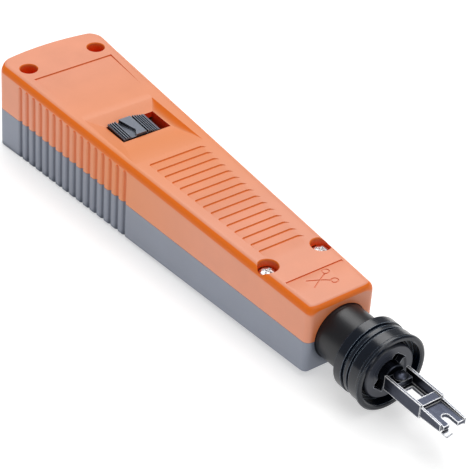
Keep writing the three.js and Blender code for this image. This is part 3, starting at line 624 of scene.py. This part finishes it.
def hollow(side, heights, x0, x1, wall):
    """Cutter for a shell's inside, from past its open side to the inner face of its wall."""
    rings = []
    for x in (x0, x1):
        half = taper(HALF_WIDTH, x) - wall
        far, near = side * (taper(heights, x) - wall), -side * 0.5
        rings.append([(x, -half, near), (x, half, near), (x, half, far), (x, -half, far)])
    return loft(rings)


# Half of a grip groove's outline: distance from its middle, and height over the wall's face.
GROOVE_PROFILE = [
    (1.18, 0.35), (1.02, 0.02), (0.88, -0.06), (0.74, -0.18), (0.62, -0.34),
    (0.50, -0.54), (0.36, -0.70), (0.18, -0.79), (0.0, -0.82),
]


def side_grooves(low, high_of):
    """Grip grooves for both sides, from z = low up to high_of(x), where they run out."""
    profile = [(-d, h) for d, h in GROOVE_PROFILE]
    profile += [(d, h) for d, h in reversed(GROOVE_PROFILE[:-1])]
    cutters = []
    for i in range(SIDE_GROOVES):
        x = SIDE_GROOVE_FIRST + i * SIDE_GROOVE_PITCH
        face = taper(HALF_WIDTH, x)
        high = high_of(x)
        # Height, and how far the cutter has left the wall there.
        levels = [
            (low, 0.0), (high - 0.9, 0.0), (high - 0.4, 0.12),
            (high, 0.5), (high + 0.3, 1.1),
        ]
        for side in (-1, 1):
            rings = []
            for z, lift in levels:
                rings.append([(x + d, side * (face + h + lift), z) for d, h in profile])
            cutters.append(loft(rings))
    return cutters


def top_steps():
    """Grip steps: each drops sharply, climbs back, and curls forward as its ends fade."""
    cutters = []
    count = 5
    left, right = TOP_STEP_RUNOUT
    left_curl, right_curl = TOP_STEP_CURL
    fades = [math.sin(math.pi / 2 * i / count) for i in range(count + 1)]
    for i in range(TOP_STEPS):
        x = TOP_STEP_FIRST + i * TOP_STEP_PITCH
        end = x + TOP_STEP_PITCH - TOP_STEP_GAP
        half = mix(TOP_STEP_HALF[0], TOP_STEP_HALF[1], i / (TOP_STEPS - 1))
        stations = [(-half + left * k / count, fade) for k, fade in enumerate(fades)]
        stations += [(half - right * k / count, fades[k]) for k in range(count, -1, -1)]
        rings = []
        for y, fade in stations:
            lip = x + (1 - fade) * (right_curl if y > 0 else left_curl)
            low = taper(TOP, lip) - mix(-0.015, TOP_STEP_DEPTH, fade)
            outline = [
                (lip - 0.28, taper(TOP, lip) + 0.4),
                (lip - 0.06, low + 0.1 * fade),
                (lip + 0.06, low),
                (lip + 0.22, low + 0.02 * fade),
                (end, taper(TOP, end) + 0.012),
                (end, taper(TOP, end) + 0.4),
            ]
            rings.append([(u, y, w) for u, w in outline])
        cutters.append(loft(rings))
    return cutters


def smooth(t):
    return t * t * (3 - 2 * t)


def trough():
    """Thumb recess: eased slopes at its ends and sides, round the selector's window."""
    start, floor_from, floor_to, end = TROUGH
    steps, side_steps = 12, 8
    rear_ease, front_ease = 0.1, 0.8       # 0 is a straight slope, 1 eases in and out fully
    hollowness = 1.2                       # 1 is a straight side
    stations = []
    for i in range(steps + 1):
        t = i / steps
        x = mix(start, floor_from, t)
        fall = mix(t, smooth(t), rear_ease)
        stations.append((x, mix(taper(TOP, start), TROUGH_FLOOR, fall)))
    for i in range(steps + 1):
        t = i / steps
        x = mix(floor_to, end, t)
        climb = mix(t, smooth(t), front_ease)
        stations.append((x, mix(TROUGH_FLOOR, taper(TOP, end), climb)))
    over = 1.0
    rings = []
    for x, low in stations:
        top = taper(TOP, x)
        depth = max(0.0, top - low)
        sides = []
        for half in TROUGH_HALF:
            # Concave side: steep at the top, easing onto the floor.
            run = (half - TROUGH_FLOOR_HALF) * depth / TROUGH_DEPTH
            side = [(half + 0.6, top + over)]
            for i in range(side_steps + 1):
                t = i / side_steps
                side.append((half - run * t, top - depth * (1 - (1 - t) ** hollowness)))
            sides.append(side)
        left, right = sides
        rings.append([(x, y, z) for y, z in right] + [(x, -y, z) for y, z in reversed(left)])
    return loft(rings)


def slope_step(x0, x1, depth, half0, half1):
    """Shallow step across the top that climbs back to the surface towards the front."""
    rings = []
    for x, down, half in ((x0, depth, half0), (x1, -0.01, half1)):
        z = taper(TOP, x)
        low, high = z - down, z + 1
        rings.append([(x, -half, low), (x, half, low), (x, half, high), (x, -half, high)])
    return loft(rings)


def scissors_mark():
    """Engraved scissors that mark the cutter's side: two finger rings and two crossed blades."""
    deep, half = 0.18, 0.2

    def stroke(points):
        left, right = [], []
        for i, (x, y) in enumerate(points):
            before, after = points[max(i - 1, 0)], points[min(i + 1, len(points) - 1)]
            u, v = after[0] - before[0], after[1] - before[1]
            size = math.hypot(u, v)
            left.append((x - v / size * half, y + u / size * half))
            right.append((x + v / size * half, y - u / size * half))
        outline = left + right[::-1]
        rings = [[(x, y, taper(TOP, x) + rise) for x, y in outline] for rise in (-deep, 0.5)]
        return loft(rings)

    def loop(x, y, rx, ry):
        def outline(inset):
            return [(x + (rx - inset) * math.cos(a), y + (ry - inset) * math.sin(a)) for a in turns]

        turns = [2 * math.pi * i / 24 for i in range(24)]
        rim = [[(p, q, taper(TOP, p) + rise) for p, q in outline(-half)] for rise in (-deep, 0.5)]
        core = [[(p, q, taper(TOP, p) + rise) for p, q in outline(half)] for rise in (-1.0, 1.0)]
        return carve(loft(rim), [loft(core)])

    return [
        loop(129.6, 2.5, 0.85, 1.0),
        loop(133.7, 2.2, 0.85, 1.0),
        stroke([(130.3, 1.6), (131.0, 0.2), (132.1, -1.9), (133.4, -4.2)]),
        stroke([(133.1, 1.25), (132.3, 0.2), (131.3, -1.7), (130.1, -4.4)]),
    ]


def flared_hole(site, y, low):
    """Screw well with a rounded mouth."""
    top = taper(TOP, site["x"])
    r = site["hole"]
    profile = [(low, 0), (low, r), (top - 0.45, r), (top - 0.2, r + 0.06), (top - 0.02, r + 0.24)]
    profile += [(top + 0.1, r + 0.5), (top + 2, r + 0.5), (top + 2, 0)]
    return turned(profile, 64, (site["x"], y))


def upper_shell():
    ceiling = TROUGH_FLOOR - 1.8
    start, floor_from, floor_to, end = TROUGH
    thick = prism_y([
        (start - 2, taper(TOP, start) + 1),
        (start - 2, taper(TOP, start) - WALL),
        (floor_from - 1.6, ceiling),
        (floor_to + 1.7, ceiling),
        (end + 1, taper(TOP, end) - WALL),
        (end + 1, taper(TOP, end) + 1),
    ], -20, 20)
    inside = carve(hollow(1, TOP, *CAVITY, WALL), [thick])
    for side in (-1, 1):
        post = cylinder_z(REAR_SCREW["x"], side * REAR_SCREW["y"], -1, 20, POST_RADIUS)
        inside = carve(inside, [post])
    # A rib beside the window hides the inside from view.
    x0, x1, y0, y1 = WINDOW
    guard = box(x0 - 1, x1 + 1, y1, y1 + 1.4, TROUGH_FLOOR - 4.4, ceiling + 0.3)
    inside = carve(inside, [guard])
    shell = carve(skin(1, TOP, EDGE_RADIUS, REAR_EDGE_RADIUS, FRONT_EDGE_RADIUS, SEAM), [inside])
    cutters = []
    for site, side in SCREWS.values():
        seat = site["head_top"] - HEAD_HEIGHT
        cutters.append(flared_hole(site, side * site["y"], seat - 0.1))
    cutters += side_grooves(-2, lambda x: taper(TOP, x) - EDGE_RADIUS + 0.1)
    cutters += top_steps()
    shell = carve(shell, [merged(cutters)])
    shell = carve(shell, [
        trough(),
        slope_step(*REAR_PANEL),
        slope_step(*FRONT_LINE),
        box(*WINDOW, WINDOW_LOW, 20),
        cylinder_x(NECK_ROOM, LENGTH + 1, NECK_BORE),
        cylinder_x(NECK_ROOM - 6, NECK_ROOM + 1, STEM_BORE, 48),
    ])
    shanks = []
    for site, side in SCREWS.values():
        high = site["head_top"] - 1.5
        shanks.append(cylinder_z(site["x"], side * site["y"], -1, high, 1.6, 24))
    shell = carve(shell, [merged(shanks)])
    for mark in scissors_mark():
        shell = carve(shell, [mark])
    return shell


def lower_shell():
    inside = hollow(-1, BOTTOM, *CAVITY, WALL - 0.1)
    for side in (-1, 1):
        post = cylinder_z(REAR_SCREW["x"], side * REAR_SCREW["y"], -20, 1, POST_RADIUS)
        inside = carve(inside, [post])
    edge = BOTTOM_EDGE_RADIUS
    shell = carve(skin(-1, BOTTOM, edge, edge, edge, SEAM), [inside])
    shanks = []
    for site, side in SCREWS.values():
        shanks.append(cylinder_z(site["x"], side * site["y"], -7.3, 1, 1.55, 24))
    low = -BOTTOM[0] - 1
    return carve(shell, [
        merged(side_grooves(low, lambda x: 1.5) + shanks),
        cylinder_x(NECK_ROOM, LENGTH + 1, NECK_BORE),
        cylinder_x(NECK_ROOM - 6, NECK_ROOM + 1, STEM_BORE, 48),
    ])


CASE_BEVEL = 0.13
upper_case = piece("upper_case", upper_shell(), ORANGE, "housing", ["upper_shell"],
                   CASE_BEVEL)
piece("lower_case", lower_shell(), GREY, "housing", ["lower_shell"], CASE_BEVEL)


def paint_window_glow(case):
    """Painted light: the walls of the slider's window are painted deep red, standing in for light
    that soaks through the plastic.
    """
    case.data.materials.append(PAINTED_WINDOW_GLOW)
    to_tool = TOOL.inverted()
    x0, x1, y0, y1 = WINDOW
    slack = 0.01
    for polygon in case.data.polygons:
        x, y, z = to_tool @ polygon.center
        inside = x0 - slack < x < x1 + slack and y0 - slack < y < y1 + slack
        if inside and WINDOW_LOW < z < TROUGH_FLOOR - 2 * slack:
            polygon.material_index = 1


paint_window_glow(upper_case)


# ------------------------------------------------------------------ screws

def screw(site, y):
    """Pan head with a cross recess on a plain shank."""
    top = site["head_top"]
    r = site["hole"] - SCREW_CLEARANCE
    low = top - HEAD_HEIGHT + 0.1
    dome = low + 0.55
    flat = 0.35                    # the share of the head's radius that is flat on top
    profile = [(-7, 0), (-7, 0.4), (-6, 1.2), (low, 1.25), (low, r), (dome, r)]
    for i in range(1, 7):
        a = math.pi / 2 * i / 6
        z = dome + (HEAD_HEIGHT - 0.65) * math.sin(a)
        profile.append((z, r * (flat + (1 - flat) * math.cos(a))))
    profile.append((top, 0))
    body = turned(profile, 48, (site["x"], y))
    arms = []
    for turn in (math.radians(25), math.radians(115)):
        u, v = math.cos(turn), math.sin(turn)
        rings = []
        for z, long, wide in ((top - 1.0, 0.35, 0.12), (top + 0.3, r * 0.8, 0.42)):
            ends = [(-long, -wide), (long, -wide), (long, wide), (-long, wide)]
            rings.append([(site["x"] + a * u - b * v, y + a * v + b * u, z) for a, b in ends])
        arms.append(loft(rings))
    return carve(body, arms)


for name, (site, side) in SCREWS.items():
    form = screw(site, side * site["y"])
    piece(name + "_cross_head", form, SCREW_STEEL, "housing", [name], 0.05)


# ------------------------------------------------------------------ force slider

def slider():
    """Button whose deck leans up towards the rear, with ribs at both ends and a sunk arrow."""
    x0, x1, y0, y1 = SLIDER
    rear_rise, front_rise = 1.5, 1.0       # the deck over the trough's floor
    fall = 1.0                             # how far the right end drops
    left_ribs, right_ribs = (-7.15, -6.4, -5.65), (1.3, 2.1, 2.9, 3.7)

    def sloped(points):
        rings = []
        for x in (x0 - 1, x1 + 1):
            deck = TROUGH_FLOOR + mix(rear_rise, front_rise, (x - x0) / (x1 - x0))
            rings.append([(x, y, deck + h) for y, h in points])
        return loft(rings)

    def valley(y, deck, deep, half):
        """Cutter for a V-shaped groove with a narrow flat bottom."""
        flat = 0.08
        return sloped([
            (y - half, deck + 0.5), (y - half, deck), (y - flat, deck - deep),
            (y + flat, deck - deep), (y + half, deck), (y + half, deck + 0.5),
        ])

    body = box(x0, x1, y0, y1, TROUGH_FLOOR - 1.8, TROUGH_FLOOR + 2.5)
    shoulder = 0.3
    # Everything over the deck's outline: a low left end, a level middle and a falling right end.
    left_deck = -0.25
    above = [
        (y0 - 1, 3), (y0 - 1, -0.7), (y0, -0.45), (y0 + 0.3, left_deck),
        (-5.3, left_deck), (-5.0, 0.0), (shoulder, 0.0),
        (y1 - 0.4, -fall), (y1, -fall - 0.3), (y1 + 1, -fall - 0.5), (y1 + 1, 3),
    ]
    cuts = [sloped(above), valley(shoulder, 0.0, 0.95, 0.34)]
    cuts += [valley(y, left_deck, 0.45, 0.26) for y in left_ribs]
    for y in right_ribs:
        deck = -fall * (y - shoulder) / (y1 - shoulder)
        cuts.append(valley(y, deck, 0.42, 0.3))
    # Arrow sunk into the deck, pointing the way the slider moves.
    tip = (50.6, -2.3)
    arrow = [(x0 - 1, -5.2), (x0 - 1, -4.3), tip, (x1 + 1, -4.0), (x1 + 1, -5.2)]
    cuts.append(prism_z(arrow, TROUGH_FLOOR + 0.35, TROUGH_FLOOR + 3))
    for cut in cuts:
        body = carve(body, [cut])
    flange_top = TROUGH_FLOOR - 2.1
    foot = box(x0, x1, y0, y1, flange_top - 0.5, TROUGH_FLOOR - 1.7)
    plate = box(x0 - 1.3, x1 + 1.3, y0 - 1.3, y1, flange_top - 1.0, flange_top)
    stem = box(46.8, 50.2, -3.3, 0.5, 3.3, flange_top - 0.6)
    peg = cylinder_z(48.5, -1.4, 0.5, 3.8, 1.2)
    return carve(body, [foot, plate, stem, peg], "UNION")


piece("force_selector_button", slider(), SLATE, "selector", ["force_slider"],
      0.07)


# ------------------------------------------------------------------ plunger

def barrel():
    """Neck: the stem's bore, a wall, then the spring's bore and the blade's socket."""
    rear, front = 132.5, 157.3
    wall_rear, wall_front, socket_rear = 143, 145.5, 149.5
    spring_bore, socket_bore = 3.8, 5.6
    # A faint ring just in front of the handle.
    mark, mark_radius = 140.8, NECK_RADIUS - 0.08
    return ring([
        (rear, STEM_BORE), (wall_rear, STEM_BORE), (wall_rear, 0.4),
        (wall_front, 0.4), (wall_front, spring_bore),
        (socket_rear, spring_bore), (socket_rear, socket_bore),
        (front, socket_bore), (front, NECK_RADIUS),
        (mark + 0.4, NECK_RADIUS), (mark + 0.2, mark_radius),
        (mark - 0.2, mark_radius), (mark - 0.4, NECK_RADIUS),
        (rear + 0.6, NECK_RADIUS), (rear, NECK_RADIUS - 0.6),
    ], 128)


def rounded_bands(points, size):
    """Softens each corner of a turned profile with a short arc."""
    out = []
    count = len(points)
    for i, p in enumerate(points):
        here = Vector(p)
        before, after = Vector(points[i - 1]), Vector(points[(i + 1) % count])
        a, b = before - here, after - here
        cut = min(size, a.length * 0.45, b.length * 0.45)
        start, stop = here + a.normalized() * cut, here + b.normalized() * cut
        for t in (0.0, 0.25, 0.5, 0.75, 1.0):
            q = start * (1 - t) ** 2 + here * (2 * t * (1 - t)) + stop * t ** 2
            out.append((q.x, q.y))
    return out


def collar():
    """Grip ring with a flared rim at its mouth and two grooves round a middle band."""
    rear, seat, front = 150, PLATE_SEAT, 160.6
    radius, rim, bore, mouth = 10.75, 11.15, 8.45, 9.5
    groove, band = radius - 0.85, radius - 0.25
    return ring(rounded_bands([
        (rear, bore), (seat, bore), (seat, mouth), (160.3, mouth), (front, mouth + 0.4),
        (front, rim - 0.5), (160.2, rim), (159.5, rim), (159.1, radius), (156.2, radius),
        (156.0, groove), (155.4, groove), (155.2, band), (154.1, band), (153.9, groove),
        (153.4, groove), (153.2, radius), (150.5, radius), (rear, radius - 0.5),
    ], 0.05), 128)


def disc():
    """Bayonet plate: a round plate with a raised hub and a slot for the blade's lugs."""
    rear, front, radius, hole = PLATE_SEAT, 159.7, 7.9, 3.6
    plate = ring(rounded_bands([
        (rear, hole), (front - 0.35, hole), (front - 0.35, hole + 1.4), (front, hole + 1.9),
        (front, radius - 0.35), (front - 0.4, radius), (rear, radius),
    ], 0.12), 128)
    half_long, half_wide = 5.4, 1.95
    slot = box(rear - 1, front + 1, -half_long, half_long, -half_wide, half_wide)
    slot.transform(Matrix.Rotation(math.radians(DISC_TURN), 4, "X"))
    return carve(plate, [slot])


piece("neck", barrel(), NECK_BLACK, "plunger", ["plunger_barrel"])
piece("ringed_collar", collar(), GLOSS_BLACK, "plunger", ["collar"])
piece("bayonet_plate", disc(), PLATE_BLACK, "plunger", ["bayonet_disc"], 0.1)


# ------------------------------------------------------------------ blade

RIVET_X = 163.7
FORK = {"rear": 162.0, "step": 175.4, "bar": 172.7, "tip": 183.9, "half": 3.9, "thick": 2.1}
FRONT_HALF, FRONT_THICK, TIP_THICK, RAIL, WEB = 3.7, 1.5, 1.0, 0.65, 0.6


def rivet_hole():
    return cylinder_z(RIVET_X, 0, -4, 4, 1.3)


def hub():
    """Round shank with two bayonet lugs and a flat tongue that carries the rivet."""
    rear, front, radius, axis = 149, 161.7, 3.3, 0.01
    outline = [(rear, axis), (rear, radius), (front, radius), (front, axis)]
    body = turned(rounded_bands(outline, 0.4), 64)
    lugs = box(150.6, 154, -5, 5, -1.65, 1.65)
    tongue = box(160.5, 165.2, -2.7, 2.7, -0.8, 1.0)
    body = carve(body, [lugs, tongue], "UNION")
    return carve(body, [rivet_hole()])


def arc_points(x, y, r, start, stop, steps):
    angles = [math.radians(mix(start, stop, i / steps)) for i in range(steps + 1)]
    return [(x + r * math.cos(a), y + r * math.sin(a)) for a in angles]


def fork():
    """Channel with a window and a crossbar, then two thinner prongs and a wire notch."""
    rear, step, bar, tip = FORK["rear"], FORK["step"], FORK["bar"], FORK["tip"]
    half, thick = FORK["half"], FORK["thick"]
    channel, corner = 3.15, 1.2
    body = box(rear, step, -half, half, -thick, thick)
    window = [(166.0, 2.2), (166.0, -2.2), *arc_points(171.1, -1.0, corner, -90, 0, 8)]
    window += arc_points(171.1, 1.0, corner, 0, 90, 8)
    body = carve(body, [
        box(rear - 1, bar, -channel, channel, -1.1, 5),
        box(bar - 0.1, step + 1, -channel, channel, 1.6, 5),
        prism_z(window, -5, 5),
    ])
    root = step - 0.5
    taper_out = [(root, -FRONT_THICK), (tip, -TIP_THICK), (tip, TIP_THICK), (root, FRONT_THICK)]
    body = carve(body, [prism_y(taper_out, -FRONT_HALF, FRONT_HALF)], "UNION")
    pocket = FRONT_HALF - RAIL
    floor = [(step, pocket), (step, -pocket), (tip + 1, -pocket), (tip + 1, pocket)]
    gap = 1.1
    notch = [(tip + 2, -gap), (tip + 2, gap), *arc_points(180.7, 0, gap, 90, 270, 16)]
    return carve(body, [
        prism_z(floor, WEB, 5),
        prism_z(floor, -5, -WEB),
        prism_z(notch, -5, 5),
        box(tip - 1.2, tip + 1, -5, -pocket, -5, 5),
        box(tip - 0.6, tip + 1, -5, -1, -5, 5),
        rivet_hole(),
    ])


def cutter():
    """Plate under the left prong that widens at its front to a ground edge."""
    rear, neck, front = 176, 183.0, 185.3
    inner, outer, wide = -1.35, -2.7, -3.6
    outline = [
        (rear, outer), (neck, outer), (neck + 0.2, wide),
        (front, wide), (front - 0.3, inner), (rear, inner),
    ]
    plate = prism_z(outline, -1.25, -0.8)
    ground = [(front - 1.1, -0.7), (front + 0.7, -0.7), (front + 0.7, -1.25), (front, -1.22)]
    return carve(plate, [prism_y(ground, -5, 0)])


def rivet():
    """Shank with a flat foot below and a domed head above."""
    dome_low, dome_height, dome_radius = 1.42, 1.15, 1.95
    profile = [(-2.7, 0), (-2.7, 1.5), (-2.55, 1.7), (-2.3, 1.7), (-2.3, 1.0), (1.3, 1.0)]
    profile += [(1.3, 1.9), (dome_low, dome_radius)]
    for i in range(1, 9):
        a = math.pi / 2 * i / 8
        profile.append((dome_low + dome_height * math.sin(a), dome_radius * math.cos(a)))
    return turned(profile, 48, (RIVET_X, 0))


piece("blade_shank", hub(), HUB_STEEL, "blade", ["blade_hub"], 0.1)
piece("wire_fork", fork(), DARK_STEEL, "blade", ["blade_fork"], 0.08)
piece("side_cutter", cutter(), CUTTER_STEEL, "blade", ["cutting_blade"], 0.03)
piece("domed_rivet", rivet(), DARK_STEEL, "blade", ["blade_rivet"])


# ------------------------------------------------------------------ springs and inner pieces

# The selector pushes the rear of the hammer's spring and the hammer pushes its front. It is drawn
# in two lengths that meet at a place on it that stays still.
MAIN_COIL = (60.4, 83.6, 4.9, 0.6, 7)      # start, end, radius, wire's radius, turns
STILL = 0.2
main_rear = piece("main_coil_rear", coil(*MAIN_COIL, part=(0.0, STILL)), SPRING,
                  None, [])
main_front = piece("main_coil", coil(*MAIN_COIL, part=(STILL, 1.0)), SPRING,
                   None, ["hammer_spring"])
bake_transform(main_rear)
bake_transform(main_front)

LATCH_X = 97.6
LATCH_COIL = (-5.3, -2.7, 0.95, 0.22, 2.5)  # as MAIN_COIL, but along z
latch_coil = piece("latch_coil", coil(*LATCH_COIL, "z", (LATCH_X, 0)), SPRING,
                   "hammer", ["latch_spring"])
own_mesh(latch_coil)

# Neither end of these two moves against the plunger.
RETURN_COIL = (106.2, 116.3, 5.2, 0.35, 5)
BLADE_COIL = (145.7, 148.8, 2.9, 0.3, 3)
piece("return_coil", coil(*RETURN_COIL), SPRING, "plunger", ["return_spring"])
piece("blade_coil", coil(*BLADE_COIL), SPRING, "plunger", ["blade_spring"])

INNER = {
    "guide_sleeve": NYLON,
    "spring_seat": NYLON,
    "buffer_washer": RUBBER,
    "trip_ramp": STEEL,
    "hammer": STEEL,
    "anvil_stem": STEEL,
    "release_pin": STEEL,
    "retaining_clip": SPRING,
    "selector_detent_spring": SPRING,
    "trip_latch": DARK_STEEL,
    "selector_wedge": DARK_STEEL,
}
for name, material in INNER.items():
    shown = frame["nodes"][name]
    for slot_index in range(max(1, len(shown.material_slots))):
        if not shown.material_slots:
            shown.data.materials.append(material)
        shown.material_slots[slot_index].material = material


# ------------------------------------------------------------------ floor, lights and camera

def floor():
    size = 3.0
    mesh = bpy.data.meshes.new("floor")
    corners = [(-size, -size, 0), (size, -size, 0), (size, size, 0), (-size, size, 0)]
    mesh.from_pydata(corners, [], [(0, 1, 2, 3)])
    obj = bpy.data.objects.new("floor", mesh)
    bpy.context.scene.collection.objects.link(obj)
    material, tree, shader, coords = start_material("pale_floor", 0.75)
    tone = blend_colour(tree, noise(tree, coords, 9.0), (0.72, 0.72, 0.72), (0.75, 0.75, 0.75))
    tree.links.new(tone, shader.inputs["Base Color"])
    shader.inputs["Emission Color"].default_value = (1, 1, 1, 1)
    shader.inputs["Emission Strength"].default_value = 0.5
    mesh.materials.append(material)


def softbox(name, position, aim, size, power, mirrored=True):
    """Soft rectangular light. One that isn't mirrored doesn't show in glossy surfaces."""
    data = bpy.data.lights.new(name, "AREA")
    data.shape = "RECTANGLE"
    data.size, data.size_y = size
    data.energy = power
    obj = bpy.data.objects.new(name, data)
    obj.location = position
    obj.rotation_mode = "QUATERNION"
    obj.rotation_quaternion = (Vector(aim) - Vector(position)).to_track_quat("-Z", "Y")
    obj.visible_glossy = mirrored
    bpy.context.scene.collection.objects.link(obj)


def camera():
    """Camera given in the tool's frame: its target, bearing, height, tilt and distance."""
    target = Vector((84.07, 0, -1.91))
    bearing, height, tilt = math.radians(51.47), math.radians(35.84), math.radians(3.58)
    distance = 544.5
    level_share = math.cos(height)
    back = Vector((
        math.sin(bearing) * level_share,
        -math.cos(bearing) * level_share,
        math.sin(height),
    ))
    level = Vector((math.cos(bearing), math.sin(bearing), 0))
    upright = back.cross(level)
    right = level * math.cos(tilt) + upright * math.sin(tilt)
    up = upright * math.cos(tilt) - level * math.sin(tilt)
    axes = [(TOOL.to_3x3() @ axis).normalized() for axis in (right, up, back)]
    data = bpy.data.cameras.new("camera")
    data.sensor_width = 36
    data.lens = 151.5
    data.shift_x = 0.0527
    data.shift_y = -0.0141
    data.clip_start = 0.01
    obj = bpy.data.objects.new("camera", data)
    turn = Matrix(axes).transposed().to_4x4()
    obj.matrix_world = Matrix.Translation(TOOL @ (target + back * distance)) @ turn
    bpy.context.scene.collection.objects.link(obj)
    bpy.context.scene.camera = obj


floor()
softbox("overhead", (0.05, 0.1, 0.85), (0, 0, 0), (1.0, 0.7), 3.4)
softbox("key", (-0.35, -0.65, 0.42), (0, 0, 0.01), (0.5, 0.35), 0.62, mirrored=False)
softbox("back", (-0.40, 0.34, 0.72), (0.06, 0, 0.01), (0.7, 0.35), 3.1)
softbox("front", (0.7, 0.15, 0.5), (0.03, 0, 0.01), (0.4, 0.4), 1.0)

world = bpy.data.worlds.new("studio")
world.use_nodes = True
world.node_tree.nodes["Background"].inputs["Color"].default_value = (1, 1, 1, 1)
world.node_tree.nodes["Background"].inputs["Strength"].default_value = 0.28
bpy.context.scene.world = world
bpy.context.scene.view_settings.view_transform = "Standard"

camera()
